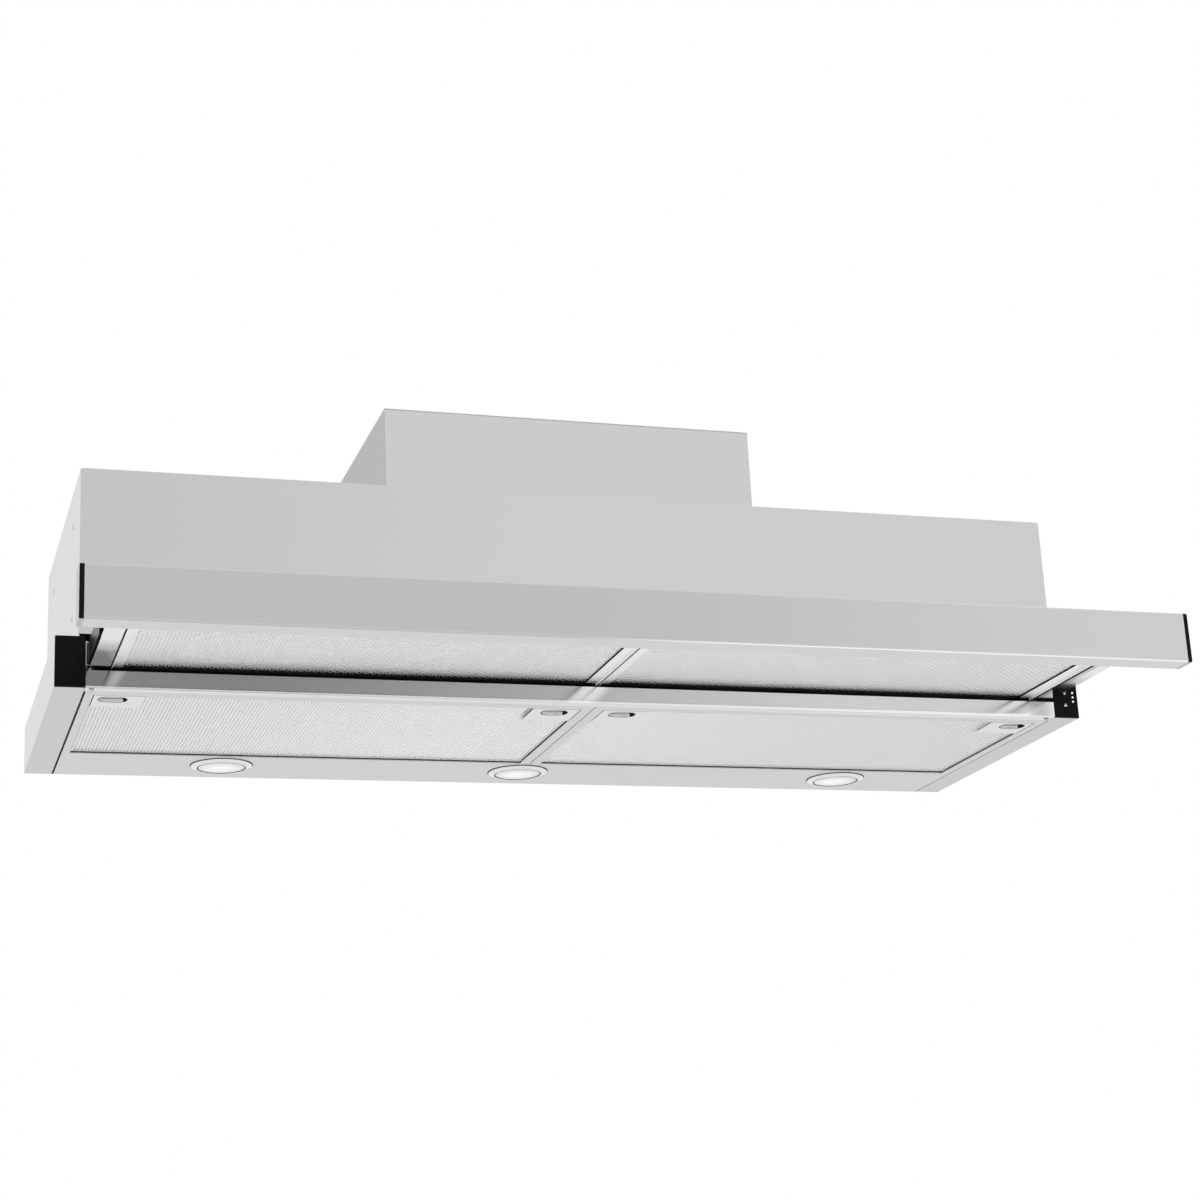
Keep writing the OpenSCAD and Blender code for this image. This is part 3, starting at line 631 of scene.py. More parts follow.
class Bench:
    """Modelling steps that the sub-assemblies share, all done with Blender's own operators."""

    @staticmethod
    def clear() -> None:
        """Leaves edit mode and deselects everything."""
        if bpy.context.object is not None and bpy.context.object.mode != "OBJECT":
            bpy.ops.object.mode_set(mode="OBJECT")
        bpy.ops.object.select_all(action="DESELECT")

    @staticmethod
    def pick(piece: bpy.types.Object) -> None:
        """Makes one object the only selected and active one.

        Args:
            piece: Object to pick.
        """
        Bench.clear()
        piece.select_set(True)
        bpy.context.view_layer.objects.active = piece

    @staticmethod
    def named(name: str) -> bpy.types.Object:
        """Names the object that an operator has just added and settles its place into its mesh.

        Args:
            name: Name of the object and of its mesh.

        Returns:
            The object, at the origin.
        """
        piece = bpy.context.object
        piece.name = name
        piece.data.name = name
        bpy.ops.object.transform_apply(location=True, rotation=True, scale=True)
        return piece

    @staticmethod
    def sheet(name: str, low: Vector, far: Vector) -> bpy.types.Object:
        """Adds a flat rectangle.

        Args:
            name: Name of the piece.
            low: Corner with the lower X and Y; the sheet lies at its height.
            far: Opposite corner, of which only X and Y count.

        Returns:
            The sheet.
        """
        Bench.clear()
        middle = (low + far) / 2
        bpy.ops.mesh.primitive_plane_add(size=1, location=(middle.x, middle.y, low.z))
        bpy.context.object.scale = (far.x - low.x, far.y - low.y, 1)
        return Bench.named(name)

    @staticmethod
    def plate(name: str, low: Vector, far: Vector, thickness: float) -> bpy.types.Object:
        """Adds a flat rectangle that is thickened upwards.

        Args:
            name: Name of the piece.
            low: Corner with the lower X and Y, at the height of the lower face.
            far: Opposite corner, of which only X and Y count.
            thickness: Height of the plate.

        Returns:
            The plate.
        """
        piece = Bench.sheet(name, low, far)
        Bench.thicken(piece, thickness)
        return piece

    @staticmethod
    def disc(name: str, centre: Triple, radius: float, sides: int) -> bpy.types.Object:
        """Adds a flat polygon that lies in X and Y.

        Args:
            name: Name of the piece.
            centre: Its middle.
            radius: Distance of its corners from the middle.
            sides: Number of its sides.

        Returns:
            The polygon.
        """
        Bench.clear()
        bpy.ops.mesh.primitive_circle_add(
            vertices=sides, radius=radius, fill_type="NGON", location=centre
        )
        return Bench.named(name)

    @staticmethod
    def rod(name: str, radius: float, height: float, sides: int) -> bpy.types.Object:
        """Adds an upright cylinder that stands on the origin.

        Args:
            name: Name of the piece.
            radius: Its radius.
            height: Its height.
            sides: Number of its sides.

        Returns:
            The cylinder.
        """
        Bench.clear()
        bpy.ops.mesh.primitive_cylinder_add(
            vertices=sides, radius=radius, depth=height, location=(0, 0, height / 2)
        )
        return Bench.named(name)

    @staticmethod
    def choose(piece: bpy.types.Object, wanted: Callable[[Vector], bool]) -> None:
        """Enters edit mode with the faces selected whose middle is wanted.

        Args:
            piece: Object to edit.
            wanted: Test of a face's middle.
        """
        Bench.pick(piece)
        bpy.ops.object.mode_set(mode="EDIT")
        bpy.ops.mesh.select_mode(type="FACE")
        bpy.ops.mesh.select_all(action="DESELECT")
        mesh = bmesh.from_edit_mesh(piece.data)
        for face in mesh.faces:
            face.select_set(wanted(face.calc_center_median()))
        bmesh.update_edit_mesh(piece.data)

    @staticmethod
    def choose_all(piece: bpy.types.Object) -> None:
        """Enters edit mode with all faces selected."""
        Bench.choose(piece, lambda middle: True)

    @staticmethod
    def drop(piece: bpy.types.Object, unwanted: Callable[[Vector], bool]) -> None:
        """Deletes some faces.

        Args:
            piece: Object to edit.
            unwanted: Test of a face's middle.
        """
        Bench.choose(piece, unwanted)
        bpy.ops.mesh.delete(type="FACE")
        Bench.clear()

    @staticmethod
    def hollow(piece: bpy.types.Object, width: float) -> None:
        """Turns a flat piece into a flat ring.

        Args:
            piece: Object to edit.
            width: Width of the ring, inwards from its edge.
        """
        Bench.choose_all(piece)
        bpy.ops.mesh.inset(thickness=width)
        bpy.ops.mesh.delete(type="ONLY_FACE")
        Bench.clear()

    @staticmethod
    def modify(piece: bpy.types.Object, kind: str, **settings: object) -> None:
        """Adds a modifier and applies it.

        Args:
            piece: Object to edit.
            kind: Type of the modifier.
            settings: Its properties.
        """
        Bench.pick(piece)
        modifier = piece.modifiers.new(kind.title(), kind)
        for key, value in settings.items():
            setattr(modifier, key, value)
        bpy.ops.object.modifier_apply(modifier=modifier.name)

    @staticmethod
    def thicken(piece: bpy.types.Object, thickness: float) -> None:
        """Turns a flat piece into a plate that grows along its normals."""
        Bench.modify(piece, "SOLIDIFY", thickness=thickness, offset=1.0)

    @staticmethod
    def round_edges(piece: bpy.types.Object, width: float, segments: int = 2) -> None:
        """Bevels the edges of a piece."""
        Bench.modify(piece, "BEVEL", width=width, segments=segments, limit_method="ANGLE")

    @staticmethod
    def repeat(piece: bpy.types.Object, step: Triple, count: int) -> None:
        """Repeats a piece in a row.

        Args:
            piece: Object to edit.
            step: Way from one copy to the next.
            count: Number of copies, with the first.
        """
        Bench.modify(
            piece,
            "ARRAY",
            use_relative_offset=False,
            use_constant_offset=True,
            constant_offset_displace=step,
            count=count,
        )

    @staticmethod
    def copies(piece: bpy.types.Object, places: Sequence[Vector]) -> bpy.types.Object:
        """Sets a copy of a piece at each place and joins them.

        Args:
            piece: Piece at the origin; it is used up.
            places: Where the copies go.

        Returns:
            The joined piece.
        """
        name = piece.name
        made = []
        for place in places:
            twin = piece.copy()
            twin.data = piece.data.copy()
            bpy.context.scene.collection.objects.link(twin)
            Bench.shift(twin, place)
            made.append(twin)
        bpy.data.objects.remove(piece)
        return Bench.join(name, made)

    @staticmethod
    def shift(piece: bpy.types.Object, way: Union[Vector, Triple]) -> None:
        """Moves the mesh of a piece and leaves its origin where it is."""
        piece.data.transform(Matrix.Translation(way))

    @staticmethod
    def join(name: str, pieces: Sequence[bpy.types.Object]) -> bpy.types.Object:
        """Joins two or more pieces.

        Args:
            name: Name of the result and of its mesh.
            pieces: Pieces to join; the first one stays.

        Returns:
            The joined piece.
        """
        Bench.clear()
        for piece in pieces:
            piece.select_set(True)
        bpy.context.view_layer.objects.active = pieces[0]
        bpy.ops.object.join()
        pieces[0].name = name
        pieces[0].data.name = name
        return pieces[0]

    @staticmethod
    def turn_upright(piece: bpy.types.Object) -> None:
        """Turns a piece drawn in X and Y so that it faces the front, along -Y."""
        piece.data.transform(Matrix.Rotation(math.pi / 2, 4, "X"))

    @staticmethod
    def smooth(piece: bpy.types.Object, angle: float = 35.0) -> None:
        """Shades a piece smooth up to an angle in degrees."""
        Bench.pick(piece)
        bpy.ops.object.shade_smooth_by_angle(angle=math.radians(angle))

    @staticmethod
    def solids(node: str, reach: float) -> list[Vector]:
        """Finds the like solids that a CAD node holds side by side.

        Args:
            node: Name of the node.
            reach: Distance in X and Y, wider than one solid and less than the way to the next.

        Returns:
            The middle of each solid at its lowest height, from left to right.
        """
        points = [vertex.co.copy() for vertex in frame["nodes"][node].data.vertices]
        groups: list[list[Vector]] = []
        for point in sorted(points, key=lambda spot: spot.x):
            near = [group for group in groups if (group[0].xy - point.xy).length < reach]
            if near:
                near[0].append(point)
            else:
                groups.append([point])
        middles = []
        for group in groups:
            low = [min(along) for along in zip(*group)]
            high = [max(along) for along in zip(*group)]
            middles.append(Vector(((low[0] + high[0]) / 2, (low[1] + high[1]) / 2, low[2])))
        return middles


class Finishes:
    """All the finishes of the hood, made once and handed out by the record's slot names."""

    SPECS: ClassVar[dict[str, Finish]] = {
        # Painted light: the rise is a gradient of reflected light along X.
        "steel_front": Brushed(
            (0.69, 0.69, 0.685),
            0.33,
            Grain.ALONG_X,
            rise=Rise(-0.45, 0.0, 0.94, 1.03),
        ),
        # Painted shade: the sides that look along X are darker than the front.
        "steel_chimney": Brushed((0.7, 0.7, 0.695), 0.33, Grain.ALONG_X, side_shade_share=0.51),
        # Painted light level on the undersides, set for the floor that they mirror.
        "steel_side": Brushed((0.655, 0.655, 0.65), 0.36, Grain.ALONG_Y, belly_light=0.92),
        "steel_under": Brushed((0.635, 0.635, 0.63), 0.34, Grain.ALONG_X),
        # Painted light: a rise of reflected light along X, a lower-fold highlight, underside light.
        "steel_fascia": Brushed(
            (0.6, 0.6, 0.595),
            0.28,
            Grain.ALONG_X,
            streak=0.015,
            line=1.2 * MM,
            rise=Rise(-0.1, 0.4, 1.0, 1.17),
            glint=Rise(-0.1, 0.05, 0.9, 1.66),
            belly_light=1.03,
            cloud=(2.0, 0.05, 0.05),
        ),
        # Painted light and shade: a rise along X, reflected edges, a fold highlight and fold shade.
        "steel_strip": Brushed(
            (0.7, 0.7, 0.695),
            0.16,
            Grain.ALONG_X,
            rise=Rise(-0.33, 0.3, 0.51, 1.43),
            gleams=(
                Gleam(-0.0095, 0.0155, 0.5, slant=1.2),
                Gleam(-0.4015, 0.0055, 0.26, slant=0.6),
                Gleam(0.412, 0.014, -0.55),
            ),
            glint=Rise(-0.4, 0.2, 0.9, 1.14),
            brow_shade=0.2,
            brow_shade_end=(0.368, 0.376),
            belly_light=0.9,
        ),
        # Painted reflection of the block and painted shade towards the wall.
        "steel_rail": Brushed(
            (0.72, 0.72, 0.715),
            0.13,
            Grain.ALONG_Y,
            gleams=(Gleam(0.408, 0.004, -0.45),),
            dusk=(-0.14, -0.11, 0.6),
        ),
        "rail_steel": Brushed((0.56, 0.57, 0.58), 0.3, Grain.ALONG_Y),
        # Painted shade: the slides are near black because they lie in shade.
        "slide_painted_shade": Brushed((0.035, 0.035, 0.036), 0.35, Grain.ALONG_Y),
        "shaft_steel": Brushed((0.7, 0.7, 0.7), 0.2, Grain.ALONG_X),
        "bezel_chrome": Brushed((0.74, 0.74, 0.74), 0.14, Grain.ALONG_X, streak=0.02),
        "latch_alu": Brushed((1.0, 1.0, 0.995), 0.36, Grain.ALONG_X, streak=0.02),
        "filter_alu": Brushed((0.86, 0.86, 0.855), 0.5, Grain.ALONG_X),
        # Painted shade at the rear edge, towards the wall.
        "drawer_rim_alu": Brushed(
            (1.0, 1.0, 0.995),
            0.75,
            Grain.ALONG_X,
            dusk=(-0.0475, -0.045, 0.05),
        ),
        "mesh_alu": Foil((1.0, 1.0, 0.995), 0.42),
        # Painted light: a rise of reflected light along X.
        "layer_alu": Foil((1.0, 1.0, 0.995), 0.5, rise=Rise(-0.4, -0.05, 0.84, 1.0)),
        # Painted shade: both darken in the dusk behind the strip.
        "drawer_mesh_alu": Foil((1.0, 1.0, 1.0), 0.78, dusk=(-0.0485, -0.0445)),
        "drawer_layer_alu": Foil((1.0, 1.0, 0.995), 0.78, dusk=(-0.0495, -0.0455)),
        "galvanised": Zinc((0.6, 0.61, 0.62)),
        "motor_steel": Zinc((0.45, 0.46, 0.47), 0.42, spangle=5 * MM),
        "screw_steel": Zinc((0.62, 0.63, 0.64), 0.3, spangle=3 * MM),
        "black_gloss": Moulded((0.004, 0.004, 0.0045), 0.28, gloss=0.08),
        "black_matte": Moulded((0.018, 0.018, 0.019), 0.55),
        "button_black": Moulded((0.006, 0.006, 0.007), 0.3, gloss=0.12),
        "cap": Moulded((0.55, 0.55, 0.55), 0.4, gloss=0.1, front_share=0.006),
        # Black of real seals, and of strips that stand for shade in seams and openings: painted
        # shade.
        "seal_and_shade": Moulded((0.01, 0.01, 0.01), 0.7, gloss=0.1),
        "grey_plastic": Moulded((0.16, 0.165, 0.17), 0.48),
        "impeller_plastic": Moulded((0.03, 0.03, 0.033), 0.5),
        "white_can": Moulded((0.72, 0.72, 0.7), 0.4),
        "board": Board(),
        "led_white": Glow((0.9, 0.9, 0.9), 0.35),
    }

    VARIANTS: ClassVar[dict[str, str]] = {
        "chimney_shell": "steel_chimney",
        "fascia_caps": "cap",
        "drawer_rail_left": "steel_rail",
        "drawer_rail_right": "steel_rail",
        "slide_middle_left": "slide_painted_shade",
        "slide_middle_right": "slide_painted_shade",
        "slides_inner": "slide_painted_shade",
    }

    HOT_BEHIND_MIDDLE: ClassVar[float] = 4 * MM

    def __init__(self, lamps: Sequence[Vector]) -> None:
        """Makes the materials.

        Args:
            lamps: Middles of the lamp glasses, which are lit a little behind them.
        """
        self.made = {slot: spec.make(slot) for slot, spec in self.SPECS.items()}
        spots = tuple((spot.x, spot.y + self.HOT_BEHIND_MIDDLE) for spot in lamps)
        lens = Glow((0.6, 0.6, 0.595), 0.68, hot_spots=spots)
        self.made["lens_frost"] = lens.make("lens_frost")

    def dress_frame(self) -> None:
        """Gives every CAD node the finish of its slot, or its own variant of it."""
        for part in frame["record"]["subparts"]:
            name = part["node"]
            finish = self.made[self.VARIANTS.get(name, part["material_slot"])]
            materials = frame["nodes"][name].data.materials
            for index in range(len(materials)):
                materials[index] = finish

    def put(
        self,
        piece: bpy.types.Object,
        slot: str,
        body: str,
        variant: Optional[str] = None,
    ) -> None:
        """Gives a new piece its finish and its body.

        Args:
            piece: New piece, at the origin.
            slot: Slot of the record.
            body: Body that it moves with.
            variant: Finish that differs from the slot's, such as a shaded layer.
        """
        piece.data.materials.clear()
        piece.data.materials.append(self.made[variant or slot])
        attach(piece, body)
        log.info("%s: %d faces, on %s", piece.name, len(piece.data.polygons), body)


@dataclass
class SoftEdges:
    """Small roundings on CAD nodes whose edges catch the light."""

    folded: float = 0.5 * MM
    moulded: float = 0.8 * MM
    weld: float = 0.01 * MM
    sharp_from: float = 60.0
    sheets: tuple[str, ...] = ("front_panel", "chimney_shell")
    mouldings: tuple[str, ...] = (
        "end_block",
        "control_block",
        "fascia_caps",
        "light_button",
        "fan_button",
    )

    def build(self) -> None:
        """Adds the roundings as modifiers, which leave the meshes as they are."""
        for names, width in ((self.sheets, self.folded), (self.mouldings, self.moulded)):
            for name in names:
                node = frame["nodes"][name]
                weld = node.modifiers.new("Weld", "WELD")
                weld.merge_threshold = self.weld
                bevel = node.modifiers.new("Bevel", "BEVEL")
                bevel.width = width
                bevel.segments = 2
                bevel.limit_method = "ANGLE"
                bevel.angle_limit = math.radians(self.sharp_from)
                bevel.use_clamp_overlap = True


@dataclass
class MeshPanel:
    """Mesh of a grease filter: a cover of staggered slots and pleated layers behind it."""

    low: Vector
    high: Vector
    corner: tuple[float, float] = (0.0, 0.0)
    cell: tuple[float, float] = (3.0 * MM, 6.0 * MM)
    strand: float = 1.0 * MM
    cover: float = 0.35 * MM
    layer_gap: float = 0.6 * MM
    pleat: float = 0.9 * MM
    foil: float = 0.2 * MM
    weld: float = 0.01 * MM

    def _in_corner(self, spot: Vector) -> bool:
        """Returns whether a point lies under one of the two front corner plates."""
        side = min(spot.x - self.low.x, self.high.x - spot.x)
        return side < self.corner[0] and spot.y - self.low.y < self.corner[1]

    def _trim(self, piece: bpy.types.Object) -> None:
        """Cuts a flat piece to the panel's outline and out of its corners.

        Args:
            piece: Object to edit.
        """
        outline = (
            ((self.low.x, 0, 0), (-1, 0, 0)),
            ((self.high.x, 0, 0), (1, 0, 0)),
            ((0, self.low.y, 0), (0, -1, 0)),
            ((0, self.high.y, 0), (0, 1, 0)),
        )
        corners = (
            ((self.low.x + self.corner[0], 0, 0), (1, 0, 0)),
            ((self.high.x - self.corner[0], 0, 0), (1, 0, 0)),
            ((0, self.low.y + self.corner[1], 0), (0, 1, 0)),
        )
        for spot, outwards in outline:
            Bench.choose_all(piece)
            bpy.ops.mesh.bisect(plane_co=spot, plane_no=outwards, clear_outer=True)
        if self.corner[0] > 0:
            for spot, across in corners:
                Bench.choose_all(piece)
                bpy.ops.mesh.bisect(plane_co=spot, plane_no=across)
            Bench.drop(piece, self._in_corner)
        Bench.clear()

    def build_cover(self, name: str) -> bpy.types.Object:
        """Builds the outer mesh from one slot, which its neighbours in X stand half a slot off.

        Args:
            name: Name of the piece.

        Returns:
            The mesh, its lower face at the height of low.
        """
        wide, deep = self.cell
        span = self.high - self.low
        start = self.low - Vector((0, deep / 2, 0))
        piece = Bench.sheet(name, start, start + Vector((wide, deep, 0)))
        Bench.choose_all(piece)
        bpy.ops.mesh.bisect(plane_co=self.low, plane_no=(0, 1, 0))
        bpy.ops.mesh.select_all(action="SELECT")
        bpy.ops.mesh.inset(thickness=self.strand / 2)
        bpy.ops.mesh.delete(type="FACE")
        Bench.clear()
        Bench.repeat(piece, (wide, deep / 2, 0), 2)
        Bench.repeat(piece, (2 * wide, 0, 0), math.ceil(span.x / wide / 2))
        Bench.repeat(piece, (0, deep, 0), math.ceil(span.y / deep) + 1)
        Bench.modify(piece, "WELD", merge_threshold=self.strand / 10)
        self._trim(piece)
        Bench.thicken(piece, self.cover)
        return piece

    def build_layers(self, name: str) -> bpy.types.Object:
        """Builds the pleated layers behind the cover, one pleat to each column of cells.

        Args:
            name: Name of the piece.

        Returns:
            One pleated sheet that stands for the layers.
        """
        wide = self.cell[0]
        low = self.low + Vector((0, 0, self.layer_gap))
        crest = low.x + wide / 2
        piece = Bench.sheet(name, low, Vector((low.x + wide, self.high.y, 0)))
        Bench.choose_all(piece)
        bpy.ops.mesh.bisect(plane_co=(crest, 0, 0), plane_no=(1, 0, 0))
        bpy.ops.mesh.select_mode(type="VERT")
        mesh = bmesh.from_edit_mesh(piece.data)
        for vertex in mesh.verts:
            vertex.select_set(abs(vertex.co.x - crest) < wide / 8)
        mesh.select_flush_mode()
        bpy.ops.transform.translate(value=(0, 0, self.pleat))
        Bench.clear()
        Bench.repeat(piece, (wide, 0, 0), math.ceil((self.high.x - self.low.x) / wide))
        Bench.modify(piece, "WELD", merge_threshold=self.weld)
        self._trim(piece)
        Bench.thicken(piece, self.foil)
        return piece


@dataclass
class HousingFilters:
    """The two filters that hinge down from the housing."""

    finishes: Finishes
    plate: tuple[float, float] = (40.6 * MM, 36.6 * MM)
    opening: tuple[float, float] = (22.5 * MM, 15.5 * MM)
    opening_r: float = 7.0 * MM
    opening_steps: int = 6
    # Sizes of the black rims, end strips and plate-edge strip, which are painted shade.
    shade_ring_w: float = 0.5 * MM
    shade_ring_h: float = 0.12 * MM
    slack: float = 0.05 * MM
    end_shade_from: float = 0.4
    end_shade_h: float = 2.7 * MM
    plate_edge_shade: Triple = (0.8 * MM, 26 * MM, 0.12 * MM)
    latch_nose: float = 4.45 * MM
    lip: float = 0.3 * MM

    def _pill(self, name: str, grow: float) -> bpy.types.Object:
        """Draws the outline of a finger opening.

        Args:
            name: Name of the piece.
            grow: Margin by which it is larger than the opening.

        Returns:
            A flat piece round the origin.
        """
        wide, deep = self.opening
        half = Vector((wide / 2 + grow, deep / 2 + grow, 0))
        piece = Bench.sheet(name, -half, half)
        Bench.choose_all(piece)
        bpy.ops.mesh.bevel(
            offset=self.opening_r + grow, segments=self.opening_steps, affect="VERTICES"
        )
        Bench.clear()
        return piece

    def _rim(self) -> bpy.types.Object:
        """Builds the thin black rim and right-end strip of one finger opening, as painted shade.

        Returns:
            The rim round the origin, with the black strip of painted shade above it.
        """
        ring = self._pill("rim", self.shade_ring_w)
        Bench.hollow(ring, self.shade_ring_w)
        Bench.thicken(ring, self.shade_ring_h)
        end_shade = self._pill("end_shade", -self.slack)
        Bench.hollow(end_shade, self.shade_ring_w)
        end = self.opening[0] * self.end_shade_from
        Bench.drop(end_shade, lambda middle: middle.x < end)
        Bench.shift(end_shade, (0, 0, self.shade_ring_h))
        Bench.thicken(end_shade, self.end_shade_h)
        return Bench.join("rim", [ring, end_shade])

    def _build_trims(self, side: str) -> None:
        """Builds the finger openings' black rims and the strip at the right-hand plate: painted
        shade.

        Args:
            side: Name of the filter's side.
        """
        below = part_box(f"filter_frame_{side}")[0].z - self.shade_ring_h
        places = []
        for at in ("outer", "inner"):
            low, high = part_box(f"latch_{side}_{at}")
            front = low.y + self.latch_nose + self.opening[1] / 2
            places.append(Vector(((low.x + high.x) / 2, front, below)))
        rims = Bench.copies(self._rim(), places)
        low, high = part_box(f"filter_net_{side}")
        wide, deep, tall = self.plate_edge_shade
        corner = Vector((high.x - self.plate[0] - wide, low.y, below))
        strip = Bench.plate("plate_edge_shade", corner, corner + Vector((wide, deep, 0)), tall)
        trims = Bench.join(f"filter_shade_trims_{side}", [rims, strip])
        self.finishes.put(trims, "black_matte", f"filter_{side}", "seal_and_shade")

    def _lip(self, low: Vector, high: Vector, side: str) -> bpy.types.Object:
        """Builds the mesh's folded edge against the right-hand plate.

        Args:
            low: Lowest corner of the mesh.
            high: Highest corner of the mesh.
            side: Name of the filter's side.

        Returns:
            A thin upright strip.
        """
        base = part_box(f"filter_frame_{side}")[0].z
        edge = high.x - self.plate[0]
        start = Vector((edge - self.lip, low.y, base))
        return Bench.plate("lip", start, Vector((edge, low.y + self.plate[1], 0)), low.z - base)

    def build(self) -> None:
        """Builds the mesh of both filters in place of the coarse nets."""
        for side in SIDES:
            low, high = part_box(f"filter_net_{side}")
            panel = MeshPanel(low, high, self.plate)
            lip = self._lip(low, high, side)
            name = f"filter_mesh_{side}"
            cover = Bench.join(name, [panel.build_cover(name), lip])
            self.finishes.put(cover, "mesh_alu", f"filter_{side}")
            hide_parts(f"filter_net_{side}")
            layers = panel.build_layers(f"filter_layers_{side}")
            self.finishes.put(layers, "mesh_alu", f"filter_{side}", "layer_alu")
            self._build_trims(side)


@dataclass
class DrawerFilters:
    """The two filters in the drawer, each a folded frame round its mesh."""

    finishes: Finishes
    border: float = 10 * MM
    hem: float = 1.0 * MM
    band: float = 2.4 * MM
    recess: float = 1.4 * MM
    edge: float = 0.3 * MM
    pleat: float = 1.0 * MM
    # Sizes of the seams and of the black strips of painted shade in them.
    mesh_edge_shade: float = 0.6 * MM
    seam: float = 1.2 * MM
    sunk: float = 0.05 * MM
    lip: float = 0.4 * MM
    lip_h: float = 0.1 * MM

    def _frame(self, name: str, low: Vector, high: Vector) -> bpy.types.Object:
        """Builds a folded frame: a band that stands back behind the hem at its edge.

        Args:
            name: Name of the piece.
            low: Lowest corner.
            high: Highest corner.

        Returns:
            The frame.
        """
        tall = high.z - low.z
        hem = Bench.sheet(name, low, high)
        Bench.hollow(hem, self.hem)
        Bench.thicken(hem, tall)
        inner = Vector((self.hem, self.hem, self.band))
        band = Bench.sheet("band", low + inner, high - inner)
        Bench.hollow(band, self.border - self.hem)
        Bench.thicken(band, tall - self.band)
        piece = Bench.join(name, [hem, band])
        Bench.round_edges(piece, self.edge)
        Bench.smooth(piece)
        return piece

    def _shade_strips(self, low: Vector, high: Vector, side: str) -> list[bpy.types.Object]:
        """Builds the black strip of painted shade at the mesh's right edge and the one beside the
        rail.

        Args:
            low: Lowest corner of the mesh's recess.
            high: Highest corner of the recess.
            side: Name of the filter's side.

        Returns:
            The mesh's strip, and the seam strip beside the rail with its lip, all painted shade.
        """
        inner_start = Vector((high.x - self.mesh_edge_shade, low.y, low.z))
        inner = Bench.plate("mesh_edge_shade", inner_start, high, self.recess)
        frame_low, frame_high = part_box(f"drawer_filter_{side}")
        rail_low, rail_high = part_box(f"drawer_rail_{side}")
        start, end = rail_high.x, frame_low.x
        if side == "right":
            start, end = frame_high.x, rail_low.x
        far = Vector((end, frame_high.y, 0))
        seam_start = Vector((start, frame_low.y, rail_low.z + self.sunk))
        seam = Bench.plate("seam", seam_start, far, self.recess)
        lip_start = Vector((start - self.lip, frame_low.y, rail_low.z - self.lip_h))
        lip = Bench.plate("lip", lip_start, far, self.lip_h)
        return [inner, seam, lip]

    def _middle_seam(self, low: Vector, high: Vector) -> bpy.types.Object:
        """Returns the black strip of painted shade between the filters, as deep as one from low to
        high.
        """
        start = Vector((-self.seam / 2, low.y, low.z + self.sunk))
        return Bench.plate("seam", start, Vector((self.seam / 2, high.y, 0)), self.recess)

    def build(self) -> None:
        """Builds frame, black strips of painted shade, mesh and layers of both filters."""
        for side in SIDES:
            low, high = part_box(f"drawer_filter_{side}")
            corner = low + Vector((self.border, self.border, self.band))
            far = high - Vector((self.border, self.border, 0))
            if side == "left":
                high.x = -self.seam / 2
            else:
                low.x = self.seam / 2
            rim = self._frame(f"drawer_filter_rim_{side}", low, high)
            self.finishes.put(rim, "filter_alu", "drawer", "drawer_rim_alu")
            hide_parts(f"drawer_filter_{side}")
            strips = self._shade_strips(corner, far, side)
            if side == "left":
                strips.append(self._middle_seam(low, high))
            shade_strips = Bench.join(f"drawer_shade_strips_{side}", strips)
            # Painted shade: black strips where the seams between the parts lie in shade.
            self.finishes.put(shade_strips, "black_matte", "drawer", "seal_and_shade")
            panel = MeshPanel(corner + Vector((0, 0, self.recess)), far, pleat=self.pleat)
            cover = panel.build_cover(f"drawer_mesh_{side}")
            self.finishes.put(cover, "mesh_alu", "drawer", "drawer_mesh_alu")
            layers = panel.build_layers(f"drawer_layers_{side}")
            self.finishes.put(layers, "mesh_alu", "drawer", "drawer_layer_alu")


@dataclass
class Lamps:
    """The ribbed glasses of the three lamps."""

    finishes: Finishes
    ribs: int = 9
    rib_depth: float = 0.22 * MM
    thickness: float = 1.8 * MM
    sides: int = 64
    smooth_to: float = 20.0
    seal_w: float = 0.7 * MM
    seal_h: float = 0.3 * MM
    glass_overlap: float = 0.1 * MM
    bezel_overlap: float = 0.5 * MM

    @staticmethod
    def centres() -> list[Vector]:
        """Returns the middle of each lens, at its lower face."""
        low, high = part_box("lamp_lenses")
        return Bench.solids("lamp_lenses", 1.5 * (high.y - low.y))

    def build(self) -> None:
        """Builds one glass and sets it in each lamp."""
        low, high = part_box("lamp_lenses")
        radius = (high.y - low.y) / 2
        step = radius / (self.ribs + 1)
        glass = Bench.disc("lamp_glasses", (0, 0, 0), radius, self.sides)
        Bench.choose_all(glass)
        for depth in (self.rib_depth, -self.rib_depth) * self.ribs:
            bpy.ops.mesh.inset(thickness=step / 2, depth=depth)
        Bench.clear()
        Bench.thicken(glass, self.thickness)
        Bench.smooth(glass, self.smooth_to)
        glass = Bench.copies(glass, self.centres())
        self.finishes.put(glass, "lens_frost", "housing")
        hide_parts("lamp_lenses")
        self._build_seals(radius)

    def _build_seals(self, radius: float) -> None:
        """Builds the dark rings round each glass and under each bezel: seals and painted shade at
        once.

        Args:
            radius: Radius of the glass.
        """
        low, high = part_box("lamp_bezels")
        bezel_r = (high.y - low.y) / 2
        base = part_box("underside_panel")[0].z - low.z - self.seal_h
        rings = []
        for name, outer, overlap, height in (
            ("glass_seal", radius + self.glass_overlap, self.glass_overlap + self.seal_w, 0.0),
            ("bezel_seal", bezel_r + self.seal_w, self.seal_w + self.bezel_overlap, base),
        ):
            ring = Bench.disc(name, (0, 0, height), outer, self.sides)
            Bench.hollow(ring, overlap)
            Bench.thicken(ring, self.seal_h)
            rings.append(ring)
        places = [Vector((spot.x, spot.y, low.z)) for spot in self.centres()]
        seal_and_shade = Bench.copies(Bench.join("lamp_seals_and_shade", rings), places)
        self.finishes.put(seal_and_shade, "black_matte", "housing", "seal_and_shade")


